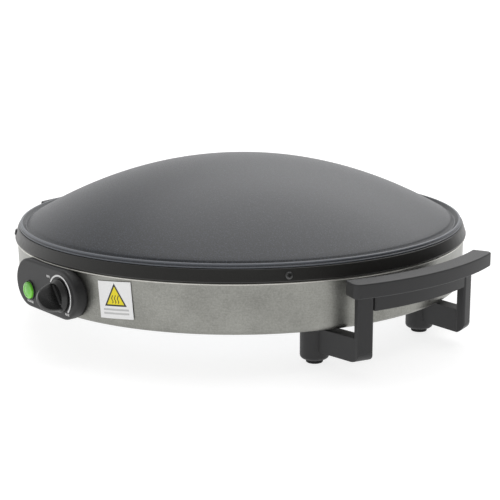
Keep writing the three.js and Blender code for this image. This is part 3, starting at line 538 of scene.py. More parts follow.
# %% Skirt ring as a lathe section
low, high = reach("skirt_ring")
SKIRT_RADIUS, SKIRT_BOTTOM, SKIRT_TOP = high.x, low.z, high.z
skirt_top_radius = SKIRT_RADIUS - 2.7
SKIRT_SHEET = 2.6
skirt_section = [(SKIRT_RADIUS - 14, SKIRT_TOP), (skirt_top_radius - 1.0, SKIRT_TOP)]
skirt_section += arc((skirt_top_radius - 1.0, SKIRT_TOP - 1.0), 1.0, 75, 15, 4)
skirt_section += [(SKIRT_RADIUS - 0.13, SKIRT_BOTTOM + 1.3)]
skirt_section += arc((SKIRT_RADIUS - 0.9, SKIRT_BOTTOM + 0.9), 0.9, 10, -90, 5)
skirt_section += [(SKIRT_RADIUS - SKIRT_SHEET, SKIRT_BOTTOM)]
skirt_section += [(skirt_top_radius - SKIRT_SHEET, SKIRT_TOP - 2.3), (SKIRT_RADIUS - 14, SKIRT_TOP - 2.3)]
skirt = lathe("skirt_ring_pressed", skirt_section)
settle(skirt, "root", black_enamel, ["skirt_ring"])

# %% [markdown]
# ## Drum
#
# The drum is a pan spun from stainless sheet. Its wall is nearly upright, its bottom corner is a soft
# radius, and its top edge is folded outwards into a lip that shows as one bright line under the skirt:
# the steel's colour is made lighter along the lip, a painted highlight. Spinning leaves very fine marks
# round the wall, so the grain is stretched along the circumference: the angle and the height are used as
# coordinates instead of X and Y. The wall is left whole: the real one has a window behind the housing,
# so here the thermostat's shaft crosses the sheet.

# %% Spun stainless steel
LIP_TOP = SKIRT_BOTTOM - 0.3


def steel_finish():
    finish = Finish("spun_stainless")
    where = finish.place()
    x, y, z = finish.parts(where)
    y = y - AXIS_Y
    angle = finish.node("ShaderNodeMath", {"operation": "ARCTAN2"}, [y, x])
    along = finish.node("ShaderNodeCombineXYZ", None, [angle * 16.0, z * 2200.0, 0.0])
    lines = finish.noise(along, 1.6, detail=4.0, roughness=0.6)
    grain = finish.noise(where, 700.0, detail=3.0, roughness=0.7)
    cloud = finish.noise(where, 26.0, detail=3.0)
    mix = lines * 0.3 + grain * 0.35 + cloud * 0.35
    # painted highlight: the steel's colour is much lighter on the lip at the top of the wall
    lip_highlight = finish.ramp(z, (LIP_TOP - 2.2) * MM, (LIP_TOP - 1.2) * MM)
    brushed = finish.blend(finish.ramp(mix, 0.38, 0.62), (0.21, 0.21, 0.193, 1), (0.365, 0.365, 0.338, 1))
    colour = finish.blend(lip_highlight, brushed, (0.62, 0.61, 0.57, 1))
    roughness = finish.ramp(grain, 0.3, 0.7, 0.34, 0.44)
    normal = finish.bump(lines * 0.6 + grain * 0.4, 0.00004, 0.5)
    return finish.surface(Base_Color=colour, Roughness=roughness, Normal=normal, Metallic=1.0)


spun_steel = steel_finish()

# %% Drum as a lathe section
low, high = reach("base_drum")
LIP_RADIUS = high.x
DRUM_BOTTOM, COLLAR_TOP = low.z, high.z
DRUM_RADIUS = LIP_RADIUS - 1.4
DRUM_FOOT_RADIUS = DRUM_RADIUS - 0.5
SHEET = 1.2
DRUM_CORNER = 5
COLLAR_RADIUS = DRUM_RADIUS - 4.3
FLANGE_RADIUS = 150
corner_centre = (DRUM_FOOT_RADIUS - DRUM_CORNER, DRUM_BOTTOM + DRUM_CORNER)
drum_section = [(FLANGE_RADIUS, DRUM_BOTTOM)] + arc(corner_centre, DRUM_CORNER, -90, 0, 8)
drum_section += [(DRUM_RADIUS, LIP_TOP - 2.5), (DRUM_RADIUS + 0.2, LIP_TOP - 1.9)]
drum_section += arc((LIP_RADIUS - 0.8, LIP_TOP - 0.85), 0.8, -70, 90, 6)
drum_section += [(COLLAR_RADIUS, LIP_TOP), (COLLAR_RADIUS, COLLAR_TOP)]
drum_section += [(COLLAR_RADIUS - SHEET, COLLAR_TOP), (COLLAR_RADIUS - SHEET, LIP_TOP - SHEET)]
drum_section += [(DRUM_RADIUS - SHEET, LIP_TOP - SHEET - 1.2)]
drum_section += arc(corner_centre, DRUM_CORNER - SHEET, 0, -90, 5)
drum_section += [(FLANGE_RADIUS, DRUM_BOTTOM + SHEET)]
drum = lathe("base_drum_spun", drum_section)
settle(drum, "root", spun_steel, ["base_drum"])

# %% [markdown]
# ## Screws in the skirt
#
# Four pan-head screws with a cross recess hold the skirt to the drum's collar. A screw is one lathe
# section, head and shank together, and the recess is cut out of it by a boolean with a small cross
# of two straight bars. One screw is made for each size, standing on its seat with the head up, and
# every other one is a copy.

# %% A screw that stands on its seat
CROSS_ARM = 0.22  # half-width of a recess arm, as a share of the head's radius


def screw(name, head_radius, head_height, shank_radius, length):
    crown = head_height * 0.55
    section = [(0, -length), (shank_radius * 0.6, -length), (shank_radius, 0.6 - length)]
    section += [(shank_radius, 0), (head_radius - 0.15, 0), (head_radius, 0.15)]
    section += [(head_radius * math.cos(t), head_height - crown + crown * math.sin(t))
                for t in (math.radians(15 * i) for i in range(7))]
    section[-1] = (0, head_height)
    piece = lathe(name, section, steps=32)
    arm = head_radius * CROSS_ARM
    reach_out = head_radius * 0.53
    for across, along in ((arm, reach_out), (reach_out, arm)):
        corners = [(-across, -along), (across, -along), (across, along), (-across, along)]
        bar = extrude_outline("recess_bar", [(x, y, -1.2) for x, y in corners],
                              (0, 0, 1.2 + head_height))
        combine(piece, bar, "DIFFERENCE")
    return piece


def screw_steel(name, dark, light, shine):
    finish = Finish(name)
    where = finish.place()
    speck = finish.noise(where, 1600.0, detail=2.0)
    colour = finish.blend(speck, dark, light)
    roughness = finish.ramp(speck, 0.3, 0.7, shine, shine + 0.12)
    return finish.surface(Base_Color=colour, Roughness=roughness, Metallic=0.85,
                          Normal=finish.bump(speck, 0.00003, 0.5))


black_screw_steel = screw_steel("black_screw_steel", grey(0.07), grey(0.13), 0.36)
SKIRT_LEAN = math.degrees(math.atan2(2.7, SKIRT_TOP - SKIRT_BOTTOM))


def middle(node):
    low, high = reach(node)
    return (low + high) / 2


FRONT_SCREW = min(range(1, 5), key=lambda n: middle(f"skirt_screw_{n}").y)
skirt_screw = screw("skirt_screw", head_radius=2.9, head_height=1.3, shank_radius=1.6, length=9)
for number in range(1, 5):
    name = f"skirt_screw_{number}"
    centre = middle(name)
    piece = twin(skirt_screw, f"cross_{name}")
    place(piece, turn=(0, 0, 25 * (number - FRONT_SCREW)))
    seat_radius = SKIRT_RADIUS - 2.7 * (78 - SKIRT_BOTTOM) / (SKIRT_TOP - SKIRT_BOTTOM) + 0.2
    place(piece, turn=(0, 90 - SKIRT_LEAN, 0), at=(seat_radius, 0, 78))
    place(piece, turn=(0, 0, math.degrees(math.atan2(centre.y, centre.x))))
    settle(piece, "root", black_screw_steel, [name])
bpy.data.objects.remove(skirt_screw)

# %% [markdown]
# ## Moulded black plastic
#
# The handles, legs and housing are phenolic mouldings. The tool that forms them is finely etched, so
# the surface has a close matt grain that scatters the light: dark seen straight on, pale at a
# grazing angle. Two noises give it, one for the grain and one, much larger, for slight unevenness.

# %% Fine-textured moulding


def moulding_finish(name, dark, light, roughness):
    finish = Finish(name)
    where = finish.place()
    grain = finish.noise(where, 1900.0, detail=2.0)
    flow = finish.noise(where, 30.0, detail=2.0)
    colour = finish.blend(grain * 0.6 + flow * 0.4, dark, light)
    shine = finish.ramp(grain, 0.3, 0.7, roughness, roughness + 0.1)
    normal = finish.bump(grain + flow * 0.2, 0.00007, 0.5)
    return finish.surface(Base_Color=colour, Roughness=shine, Normal=normal, IOR=1.5)


moulding = moulding_finish("etched_moulding", (0.012, 0.012, 0.013, 1), (0.026, 0.026, 0.027, 1), 0.46)

# %% [markdown]
# ## Grips
#
# Each grip is a flat curved bar with a rib behind its lower edge, which stiffens it and hides the
# tops of the legs. Seen from above both are bands between two arcs round the drum's axis. The band's
# outer corners are rounded: the centre of such a corner is where a circle of the corner's radius
# touches both the outer arc and the straight end.

# %% A curved bar with rounded outer corners


def band_points(inner, outer, half_angle, corner, z, steps=40):
    """Plan of a band round the axis; the two outer corners have the given radius."""
    points = [(x, y, z) for x, y in arc((0, 0), inner, half_angle, -half_angle, steps)]
    lean = math.degrees(math.asin(corner / (outer - corner)))
    turn = half_angle - lean
    reach_out = (outer - corner) * math.cos(math.radians(turn))
    side = (outer - corner) * math.sin(math.radians(turn))
    near_corner = arc((reach_out, -side), corner, -half_angle - 90, -turn, 8)
    far_corner = arc((reach_out, side), corner, turn, half_angle + 90, 8)
    outer_arc = arc((0, 0), outer, -turn, turn, steps)[1:-1]
    return points + [(x, y, z) for x, y in near_corner + outer_arc + far_corner]


low, high = reach("handle_grip_right")
GRIP_OUTER, GRIP_TOP, RIB_BOTTOM = high.x, high.z, low.z
GRIP_INNER, GRIP_BOTTOM, GRIP_HALF_ANGLE, GRIP_CORNER = GRIP_OUTER - 16.5, GRIP_TOP - 11.2, 19.8, 5
RIB_INNER, RIB_OUTER, RIB_HALF_ANGLE = 213, 220.5, 13.74

bar = extrude_outline("grip_bar", band_points(GRIP_INNER, GRIP_OUTER, GRIP_HALF_ANGLE, GRIP_CORNER,
                                              GRIP_BOTTOM), (0, 0, GRIP_TOP - GRIP_BOTTOM))
bevel(bar, 1.0, segments=3, angle=50)
rib = extrude_outline("grip_rib", band_points(RIB_INNER, RIB_OUTER, RIB_HALF_ANGLE, 1.5, RIB_BOTTOM),
                      (0, 0, GRIP_BOTTOM + 2 - RIB_BOTTOM))
bevel(rib, 0.5, segments=2, angle=50)
grip = combine(bar, rib)
for side, turn in (("right", 0), ("left", 180)):
    piece = twin(grip, f"curved_grip_{side}")
    place(piece, turn=(0, 0, turn))
    settle(piece, "root", moulding, [f"handle_grip_{side}"], flat_faces=True)
bpy.data.objects.remove(grip)

# %% [markdown]
# ## Legs
#
# A leg is a round foot housing, an arm that runs out level from it, and a post with rounded corners
# that rises to the grip. The bottom of the post turns into the arm in one large radius. The post is
# cut to that curve by a boolean with an outline of the leg's side view, and then the three solids
# are united. The leg is made for one end of the handle, and its mirror image serves the other end.

# %% One leg
low, high = reach("handle_leg_2")
HOUSING_BOTTOM, POST_TOP = low.z, high.z
FOOT_RADIUS = 11.5
FOOT_PLACE = Vector((low.x + FOOT_RADIUS, middle("rubber_foot_2").y, 0))
POST_RADIUS, POST_ANGLE, POST_DEPTH, POST_WIDTH, POST_CORNER = 216.8, 15.6, 7.5, 13.5, 2.2
ARM_WIDTH, ARM_BOTTOM, ARM_TOP, LEG_CORNER = 12, 11, 30, 9
HOUSING_TOP = DRUM_BOTTOM - 0.3


def foot_housing():
    section = [(0, HOUSING_BOTTOM)]
    section += arc((FOOT_RADIUS - 3, HOUSING_BOTTOM + 3), 3, -90, 0, 6)
    section += [(FOOT_RADIUS, HOUSING_TOP - 0.8), (FOOT_RADIUS - 0.8, HOUSING_TOP), (0, HOUSING_TOP)]
    return place(lathe("foot_housing", section, steps=48), at=FOOT_PLACE)


def post():
    x, y = POST_DEPTH / 2 - POST_CORNER, POST_WIDTH / 2 - POST_CORNER
    plan = []
    for cx, cy, start in ((x, -y, -90), (x, y, 0), (-x, y, 90), (-x, -y, 180)):
        plan += arc((cx, cy), POST_CORNER, start, start + 90, 5)
    column = extrude_outline("leg_post", [(a, b, ARM_BOTTOM) for a, b in plan],
                             (0, 0, POST_TOP - ARM_BOTTOM))
    place(column, at=(POST_RADIUS, 0, 0))
    return place(column, turn=(0, 0, POST_ANGLE))


def arm(run):
    half = ARM_WIDTH / 2
    profile = [(0, ARM_BOTTOM), (run, ARM_BOTTOM), (run, ARM_TOP), (0, ARM_TOP)]
    return extrude_outline("leg_arm", [(a, -half, b) for a, b in profile], (0, ARM_WIDTH, 0))


def leg_envelope():
    """The side view of the post and arm, with the one large corner, wide enough to hold both."""
    outside, bottom = POST_RADIUS + POST_DEPTH / 2 + 0.03, ARM_BOTTOM - 0.03
    corner = arc((outside - LEG_CORNER, bottom + LEG_CORNER), LEG_CORNER, 0, -90, 12)
    side = [(100, 90), (outside, 90)] + corner + [(100, bottom)]
    envelope = extrude_outline("leg_envelope", [(a, -70, b) for a, b in side], (0, 140, 0))
    return place(envelope, turn=(0, 0, POST_ANGLE))


turn = math.radians(POST_ANGLE)
post_foot = Vector((POST_RADIUS * math.cos(turn), POST_RADIUS * math.sin(turn), 0))
run = post_foot - FOOT_PLACE
leg_arm = place(arm(run.length), turn=(0, 0, math.degrees(math.atan2(run.y, run.x))), at=FOOT_PLACE)
elbow = combine(combine(leg_arm, post()), leg_envelope(), "INTERSECT")
leg = combine(bevel(elbow, 0.8, segments=3, angle=50), foot_housing())
well = lathe("plug_well", [(0, 0), (4.7, 0), (4.7, 15), (0, 15)], steps=32)
combine(leg, place(well, at=FOOT_PLACE), "DIFFERENCE")


def mirrored(piece, name):
    """The mirror image in Y; the scale turns the faces inwards, so they are turned back."""
    image = twin(piece, name)
    select_only(image)
    image.scale = (1, -1, 1)
    bpy.ops.object.transform_apply(location=True, rotation=True, scale=True)
    bpy.ops.object.mode_set(mode="EDIT")
    tidy_mesh()
    return image


other_leg = mirrored(leg, "other_leg")
for number, (model, turn) in enumerate(((other_leg, 0), (leg, 0), (other_leg, 180), (leg, 180)), 1):
    piece = twin(model, f"moulded_leg_{number}")
    place(piece, turn=(0, 0, turn))
    settle(piece, "root", moulding, [f"handle_leg_{number}"], flat_faces=True)
for model in (leg, other_leg):
    bpy.data.objects.remove(model)

# %% [markdown]
# ## Rubber feet
#
# A turned pad with a rounded tread and a shallow groove, on a plug that fills the well in the
# housing. Rubber is matt and slightly dusty, so its colour varies more than its shine.

# %% Rubber


def rubber_finish(name, dark, light):
    finish = Finish(name)
    where = finish.place()
    dust = finish.noise(where, 260.0, detail=4.0)
    pores = finish.noise(where, 2200.0, detail=1.0)
    colour = finish.blend(dust, dark, light)
    roughness = finish.ramp(dust, 0.3, 0.7, 0.7, 0.85)
    return finish.surface(Base_Color=colour, Roughness=roughness,
                          Normal=finish.bump(pores + dust, 0.00006, 0.6), IOR=1.45)


foot_rubber = rubber_finish("foot_rubber", grey(0.008), grey(0.020))
seal_rubber = rubber_finish("seal_rubber", grey(0.012), grey(0.028))
low, high = reach("rubber_foot_1")
PAD_RADIUS = (high.x - low.x) / 2
pad_section = [(0, 0.25), (2.0, 0.25), (2.3, 0)] + arc((PAD_RADIUS - 0.8, 0.8), 0.8, -90, 0, 5)
pad_section += [(PAD_RADIUS, 1.5), (PAD_RADIUS - 0.25, 1.75), (PAD_RADIUS, 2.0), (PAD_RADIUS, 3.0)]
pad_section += [(4.3, 3.0), (4.3, high.z - 0.5), (3.8, high.z), (0, high.z)]
pad = lathe("pad", pad_section, steps=64)
for number in range(1, 5):
    centre = middle(f"rubber_foot_{number}")
    piece = place(twin(pad, f"turned_foot_{number}"), at=(centre.x, centre.y, 0))
    settle(piece, "root", foot_rubber, [f"rubber_foot_{number}"])
bpy.data.objects.remove(pad)

# %% [markdown]
# ## Control housing
#
# The housing is a hollow moulding with half-round ends. Its outline, two half circles and two
# straight lines, is extruded towards the front, the front edge is bevelled to a soft radius, and the
# back is cut to the drum's curve, with room for the gasket. A smaller copy of the outline hollows it
# out, and two rods cut the holes for the dial and the lamp.

# %% Housing with its cavity and holes
low, high = reach("control_housing")
FACE_Y, HOUSING_HALF = low.y, high.x
HOUSING_ROUND, HOUSING_WALL, HOUSING_EDGE = (high.z - low.z) / 2, 2.5, 2.2
HOUSING_Z = (low.z + high.z) / 2
DIAL_CENTRE, LAMP_CENTRE = middle("thermostat_knob"), middle("lamp_lens")


def stadium_prism(name, inset, front, back):
    radius = HOUSING_ROUND - inset
    straight = HOUSING_HALF - HOUSING_ROUND
    outline = arc((straight, HOUSING_Z), radius, -90, 90, 32)
    outline += arc((-straight, HOUSING_Z), radius, 90, 270, 32)
    return extrude_outline(name, [(x, back, z) for x, z in outline], (0, front - back, 0))


def front_rod(name, radius, centre, front, back):
    rod = lathe(name, [(0, back), (radius, back), (radius, front), (0, front)], steps=48)
    return place(rod, turn=(90, 0, 0), at=(centre.x, 0, centre.z))


housing = stadium_prism("housing_moulded", 0, FACE_Y, -180)
select_only(housing)
bpy.ops.object.mode_set(mode="EDIT")
bpy.ops.mesh.select_mode(type="FACE")
bpy.ops.mesh.select_all(action="DESELECT")
bpy.ops.object.mode_set(mode="OBJECT")
for face in housing.data.polygons:
    face.select = face.normal.y < -0.9 and face.center.y < FACE_Y + 1
bpy.ops.object.mode_set(mode="EDIT")
bpy.ops.mesh.select_mode(type="VERT")
bpy.ops.mesh.bevel(offset=HOUSING_EDGE, segments=6, affect="EDGES")
tidy_mesh()
combine(housing, stadium_prism("housing_cavity", HOUSING_WALL, FACE_Y + HOUSING_WALL, -170), "DIFFERENCE")
drum_core = lathe("drum_core", [(0, 0), (DRUM_RADIUS + 1.7, 0), (DRUM_RADIUS + 1.7, 100), (0, 100)], 192)
combine(housing, drum_core, "DIFFERENCE")
lip_room = lathe("lip_room", [(0, LIP_TOP - 2.7), (SKIRT_RADIUS + 0.2, LIP_TOP - 2.7),
                              (SKIRT_RADIUS + 0.2, 90), (0, 90)], 192)
combine(housing, lip_room, "DIFFERENCE")
lens_radius = reach("lamp_lens")[1].x - LAMP_CENTRE.x
combine(housing, front_rod("dial_hole", 5.5, DIAL_CENTRE, 210, 195), "DIFFERENCE")
combine(housing, front_rod("lamp_hole", lens_radius + 0.3, LAMP_CENTRE, 210, 195), "DIFFERENCE")
settle(housing, "root", moulding, ["control_housing"], flat_faces=True)

# %% [markdown]
# ## Printed marks
#
# The control face is pad-printed in white: an arc round the dial that starts at its lowest mark and
# ends at its highest, and three generic words. A print has almost no thickness, but as thin solids
# the marks stay sharp from any distance. The words are text turned into a mesh, and the arc is a
# flat band with a little depth.

# %% White print on the control face


def print_finish():
    finish = Finish("white_print")
    wear_and_highlight = finish.noise(finish.place(), 700.0, detail=3.0)
    colour = finish.blend(finish.ramp(wear_and_highlight, 0.25, 0.5), grey(0.62), grey(0.88))
    return finish.surface(Base_Color=colour, Roughness=0.45, Normal=finish.bump(wear_and_highlight, 0.00002, 0.4))


white_print = print_finish()
PRINT_DEPTH = 0.06
ARC_RADIUS, ARC_WIDTH, ARC_START, ARC_END = 15.7, 1.4, 148, -47


def onto_face(piece, x, z):
    """A flat drawing in X and Y becomes a print on the face, which looks along -Y."""
    return place(piece, turn=(90, 0, 0), at=(x, FACE_Y - 0.02, z))


mark_arc = arc((0, 0), ARC_RADIUS + ARC_WIDTH / 2, ARC_START, ARC_END, 72)
mark_arc += arc((0, 0), ARC_RADIUS - ARC_WIDTH / 2, ARC_END, ARC_START, 72)
range_arc = extrude_outline("dial_range_arc", [(x, y, 0) for x, y in mark_arc], (0, 0, PRINT_DEPTH))
onto_face(range_arc, DIAL_CENTRE.x, DIAL_CENTRE.z)
settle(range_arc, "root", white_print, smooth=20)


def word(name, text, size, x, z):
    select_only()
    bpy.ops.object.text_add()
    letters = bpy.context.active_object
    letters.data.body = text
    letters.data.size = size
    letters.data.align_x = "CENTER"
    letters.data.align_y = "CENTER"
    letters.data.extrude = PRINT_DEPTH / 2
    letters.data.offset = 0.05
    letters.data.resolution_u = 4
    bpy.ops.object.convert(target="MESH")
    letters = bpy.context.active_object
    letters.name = letters.data.name = name
    bpy.ops.object.mode_set(mode="EDIT")
    tidy_mesh()
    onto_face(letters, x, z)
    settle(letters, "root", white_print, smooth=20)


word("word_lowest", "MIN", 2.7, 6.3, 63.7)
word("word_highest", "MAX", 2.7, 32.6, 38.0)
word("word_power", "POWER", 2.7, -23.2, 37.2)

# %% [markdown]
# ## Lamp
#
# A round lens of clear green plastic stands a little proud of the face in a thin glossy ring. A neon
# lamp glows behind it, brightest in the middle. Real refraction through so small a lens would cost a
# lot and show little: a saturated colour with a clear coat and a faint glow looks the same. The colour
# also carries a painted highlight, lighter green towards the rim, and painted shade, darker green
# towards the top.

# %% Green lens and its ring


def lens_finish(centre):
    finish = Finish("green_lens")
    where = finish.place()
    x, y, z = finish.parts(where)
    x, z = x - centre.x * MM, z - centre.z * MM
    distance = finish.maths("SQRT", x * x + z * z)
    rings = finish.maths("SINE", distance * 9000.0)
    # painted highlight: lighter green towards the rim of the lens; painted shade: darker green towards its
    # top
    edge = finish.ramp(distance, 0.0030, 0.0066)
    height = finish.ramp(z, 0.0, 0.0055)
    rim_highlight_green = finish.blend(edge, (0.10, 0.42, 0.012, 1), (0.17, 0.58, 0.04, 1))
    colour = finish.blend(height * 0.7, rim_highlight_green, (0.05, 0.21, 0.015, 1))
    return finish.surface(Base_Color=colour, Roughness=0.2, Coat_Weight=0.5, Coat_Roughness=0.05,
                          Emission_Color=(0.07, 0.40, 0.004, 1), Emission_Strength=0.25,
                          Normal=finish.bump(rings, 0.00004, 0.5))


def gloss_finish():
    finish = Finish("gloss_plastic")
    where = finish.place()
    ripple = finish.noise(where, 180.0, detail=2.0)
    dust = finish.noise(where, 1700.0, detail=1.0)
    colour = finish.blend(dust, grey(0.010), grey(0.020))
    roughness = finish.ramp(ripple, 0.3, 0.7, 0.24, 0.34)
    return finish.surface(Base_Color=colour, Roughness=roughness,
                          Normal=finish.bump(ripple + dust * 0.2, 0.00005, 0.4), IOR=1.5)


gloss_black = gloss_finish()
low, high = reach("lamp_lens")
lens_front, lens_back = -low.y, -high.y
lens_section = [(0, lens_back), (lens_radius, lens_back), (lens_radius, lens_front - 1.5)]
lens_section += arc((lens_radius - 1.1, lens_front - 1.5), 1.1, 15, 75, 4)
lens_section += [(lens_radius * 0.72, lens_front - 0.3), (lens_radius * 0.66, lens_front - 0.55)]
lens_section += [(lens_radius * 0.6 * (1 - i / 6), lens_front - 0.45 * (1 - i / 6) ** 2) for i in range(7)]
lens = lathe("domed_lens", lens_section, steps=64)
place(lens, turn=(90, 0, 0), at=(LAMP_CENTRE.x, 0, LAMP_CENTRE.z))
settle(lens, "root", lens_finish(LAMP_CENTRE), ["lamp_lens"])

face_out = -FACE_Y
ring_section = [(lens_radius + 0.3, face_out + 0.3), (lens_radius + 1.2, face_out + 0.3)]
ring_section += arc((lens_radius + 0.75, face_out + 0.65), 0.45, 0, 180, 8)
ring = lathe("lamp_ring", ring_section, steps=64)
place(ring, turn=(90, 0, 0), at=(LAMP_CENTRE.x, 0, LAMP_CENTRE.z))
settle(ring, "root", gloss_black, ["lamp_bezel"])

# %% [markdown]
# ## Dial knob
#
# The knob is a low cone with a rounded rim, hollowed on top, and a thick blade across it to turn it
# by. The blade is rounder on the side that points and fuller at its tail. A skirt of material along
# the blade's foot strengthens it. The cone is a lathe section; the blade and its foot are outlines
# extruded across and bevelled. The knob is made pointing along +X and then turned to where it rests.

# %% Knob
low, high = reach("thermostat_knob")
KNOB_BACK = face_out + 0.3
KNOB_HEIGHT = -low.y - KNOB_BACK
KNOB_RADIUS = (high.x - low.x) / 2
KNOB_ANGLE, KNOB_SHOULDER, RIM_HEIGHT = 126, 10.8, 4.5
BLADE_WIDTH, POINTER_REACH, TAIL_REACH, FOOT_WIDTH = 4.8, 11.6, 12.3, 9.4
HUB_BACK = -high.y - KNOB_BACK


def blade_outline():
    points = []
    for step in range(37):
        angle = math.radians(5 * step)
        pointing = math.cos(angle) > 0
        power = 1 if pointing else 0.78
        half = POINTER_REACH if pointing else TAIL_REACH
        across = half * math.copysign(abs(math.cos(angle)) ** power, math.cos(angle))
        points.append((across, 1 + (KNOB_HEIGHT - 1) * abs(math.sin(angle)) ** power))
    return points


def blade(name, width, outline, edge):
    flat = extrude_outline(name, [(x, -width / 2, z) for x, z in outline], (0, width, 0))
    return bevel(flat, edge, segments=4, angle=50)


cone_section = [(0, HUB_BACK), (4.9, HUB_BACK), (4.9, 0), (KNOB_RADIUS - 0.3, 0), (KNOB_RADIUS, 0.3)]
cone_section += arc((KNOB_RADIUS - 0.6, 1.3), 0.6, 0, 50, 4)
cone_section += arc((KNOB_SHOULDER - 0.4, RIM_HEIGHT - 0.5), 0.5, 50, 120, 5)
cone_section += [(KNOB_SHOULDER - 1.4, RIM_HEIGHT - 1.1), (KNOB_SHOULDER - 2.2, RIM_HEIGHT - 1.5)]
cone_section += [(0, RIM_HEIGHT - 1.5)]
knob = lathe("dial_knob", cone_section, steps=96)
FOOT_REACH, FOOT_TOP = 9.9, 5.0
foot = [(-FOOT_REACH, 1), (FOOT_REACH, 1), (FOOT_REACH - 0.6, FOOT_TOP), (0.6 - FOOT_REACH, FOOT_TOP)]
combine(knob, blade("blade_foot", FOOT_WIDTH, foot, 2.0))
combine(knob, blade("blade", BLADE_WIDTH, blade_outline(), 1.0))
bore = lathe("shaft_bore", [(0, HUB_BACK - 1), (3.3, HUB_BACK - 1), (3.3, 2.9), (0, 2.9)], steps=32)
combine(knob, bore, "DIFFERENCE")
place(knob, turn=(0, 0, KNOB_ANGLE), at=(0, 0, KNOB_BACK))
place(knob, turn=(90, 0, 0), at=(DIAL_CENTRE.x, 0, DIAL_CENTRE.z))
settle(knob, "dial", gloss_black, ["thermostat_knob"], smooth=40)

# %% [markdown]
# ## Heat label
#
# A square of printed paper on the drum: a yellow triangle with three rising waves, and two grey bars
# in place of small print. The sheet follows the drum, so it is a grid bent round the axis and given
# its thickness. The print is drawn by the finish. The angle round the axis times the radius and the
# height are the sheet's own flat coordinates, and distances to lines give sharp shapes.

# %% Label print
LABEL_WIDTH, LABEL_HEIGHT, LABEL_TILT = 30, 29, 4
label_middle = middle("heat_label")
LABEL_ANGLE = math.atan2(label_middle.y, label_middle.x)
LABEL_Z = label_middle.z
LABEL_RADIUS = DRUM_RADIUS + 0.6


def label_finish():
    finish = Finish("printed_label")
    where = finish.place()
    x, y, z = finish.parts(where)
    y = y - AXIS_Y
    turn = finish.maths("ARCTAN2", y, x) - LABEL_ANGLE
    lean = math.radians(LABEL_TILT)
    along, rise = turn * LABEL_RADIUS, z / MM - LABEL_Z
    across = along * math.cos(lean) + rise * math.sin(lean)
    up = rise * math.cos(lean) - along * math.sin(lean)
    apex, base, half_width = 13.2, -4.8, 10.0
    slope = half_width / (apex - base)
    side_share = math.cos(math.atan(slope))
    beside = (finish.maths("ABSOLUTE", across) - (apex - up) * slope) * side_share
    outside = finish.maths("MAXIMUM", beside, base - up)
    triangle = finish.ramp(outside, -0.08, 0.08, 1.0, 0.0)
    yellow = finish.ramp(outside, -1.35, -1.2, 1.0, 0.0)
    shifted = across + finish.maths("SINE", up * 1.3) * 0.5 + 3.9
    nearest = finish.maths("ABSOLUTE", finish.maths("FLOORED_MODULO", shifted, 2.6) - 1.3)
    inside_waves = finish.maths("LESS_THAN", finish.maths("ABSOLUTE", shifted - 3.9), 3.9)
    wave_height = finish.maths("LESS_THAN", finish.maths("ABSOLUTE", up - 0.6), 3.2)
    waves = finish.maths("LESS_THAN", nearest, 0.38) * inside_waves * wave_height
    bar_rows = finish.maths("LESS_THAN", finish.maths("ABSOLUTE", finish.maths(
        "ABSOLUTE", up + 9.0) - 1.5), 0.75)
    bars = bar_rows * finish.maths("LESS_THAN", finish.maths("ABSOLUTE", across), 11.5)
    fibre = finish.noise(where, 1400.0, detail=3.0)
    paper = finish.blend(fibre, grey(0.93), grey(1.0))
    with_bars = finish.blend(bars * 0.5, paper, grey(0.25))
    with_edge = finish.blend(triangle, with_bars, grey(0.02))
    with_sign = finish.blend(yellow, with_edge, (0.95, 0.80, 0.01, 1))
    colour = finish.blend(waves * yellow, with_sign, grey(0.02))
    return finish.surface(Base_Color=colour, Roughness=0.5, Normal=finish.bump(fibre, 0.00002, 0.4))


# %% Label sheet, bent round the drum

def bent_label():
    select_only()
    bpy.ops.mesh.primitive_grid_add(x_subdivisions=24, y_subdivisions=4, size=1)
    sheet = bpy.context.active_object
    sheet.name = sheet.data.name = "curved_label"
    sheet.scale = (LABEL_WIDTH, LABEL_HEIGHT, 1)
    bpy.ops.object.transform_apply(location=True, rotation=True, scale=True)
    lean = math.radians(LABEL_TILT)
    for vertex in sheet.data.vertices:
        along = vertex.co.x * math.cos(lean) - vertex.co.y * math.sin(lean)
        up = vertex.co.x * math.sin(lean) + vertex.co.y * math.cos(lean)
        angle = LABEL_ANGLE + along / LABEL_RADIUS
        vertex.co = (LABEL_RADIUS * math.cos(angle), LABEL_RADIUS * math.sin(angle), LABEL_Z + up)
    return apply_modifier(sheet, "SOLIDIFY", thickness=0.25, offset=-1)


settle(bent_label(), "root", label_finish(), ["heat_label"])

# %% [markdown]
# ## Cord gland
#
# At the back the supply cord passes through a moulded rubber gland: a collar against the drum, and a
# short tapered nose with two grooves that let it bend. It is one closed lathe section round a bore.

# %% Gland
low, high = reach("cord_gland")
gland_radius, gland_out, gland_in = high.x, high.y, low.y
gland_neck, gland_bore = gland_radius - 2.3, 3.6
gland_section = [(gland_bore, gland_in), (gland_neck - 0.4, gland_in), (gland_neck, gland_in + 0.4)]
gland_section += [(gland_neck, DRUM_RADIUS + 0.3), (gland_radius - 0.3, DRUM_RADIUS + 0.3)]
gland_section += arc((gland_radius - 0.8, DRUM_RADIUS + 2.4), 0.8, 0, 80, 4)
gland_section += [(gland_radius - 1.6, DRUM_RADIUS + 3.4), (gland_radius - 2.2, DRUM_RADIUS + 4.0)]
gland_section += [(gland_radius - 2.0, DRUM_RADIUS + 4.9), (gland_radius - 2.9, DRUM_RADIUS + 5.5)]
gland_section += [(gland_radius - 2.6, DRUM_RADIUS + 6.5), (gland_radius - 3.4, gland_out - 0.2)]
gland_section += [(gland_radius - 3.8, gland_out), (gland_bore + 0.4, gland_out)]
gland_section += [(gland_bore, gland_out - 0.4)]
gland = lathe("cord_gland_ribbed", gland_section, steps=64)
place(gland, turn=(-90, 0, 0), at=(0, 0, middle("cord_gland").z))
settle(gland, "root", seal_rubber, ["cord_gland"])

# %% [markdown]
# ## Bottom cover
#
# The cover is a plain zinc-plated disc that closes the drum from below. A pressed ring stiffens it
# and slots let cool air in. Zinc plating has a faint crystal pattern and a bluish shade, which a
# Voronoi texture gives.

# %% Zinc plating


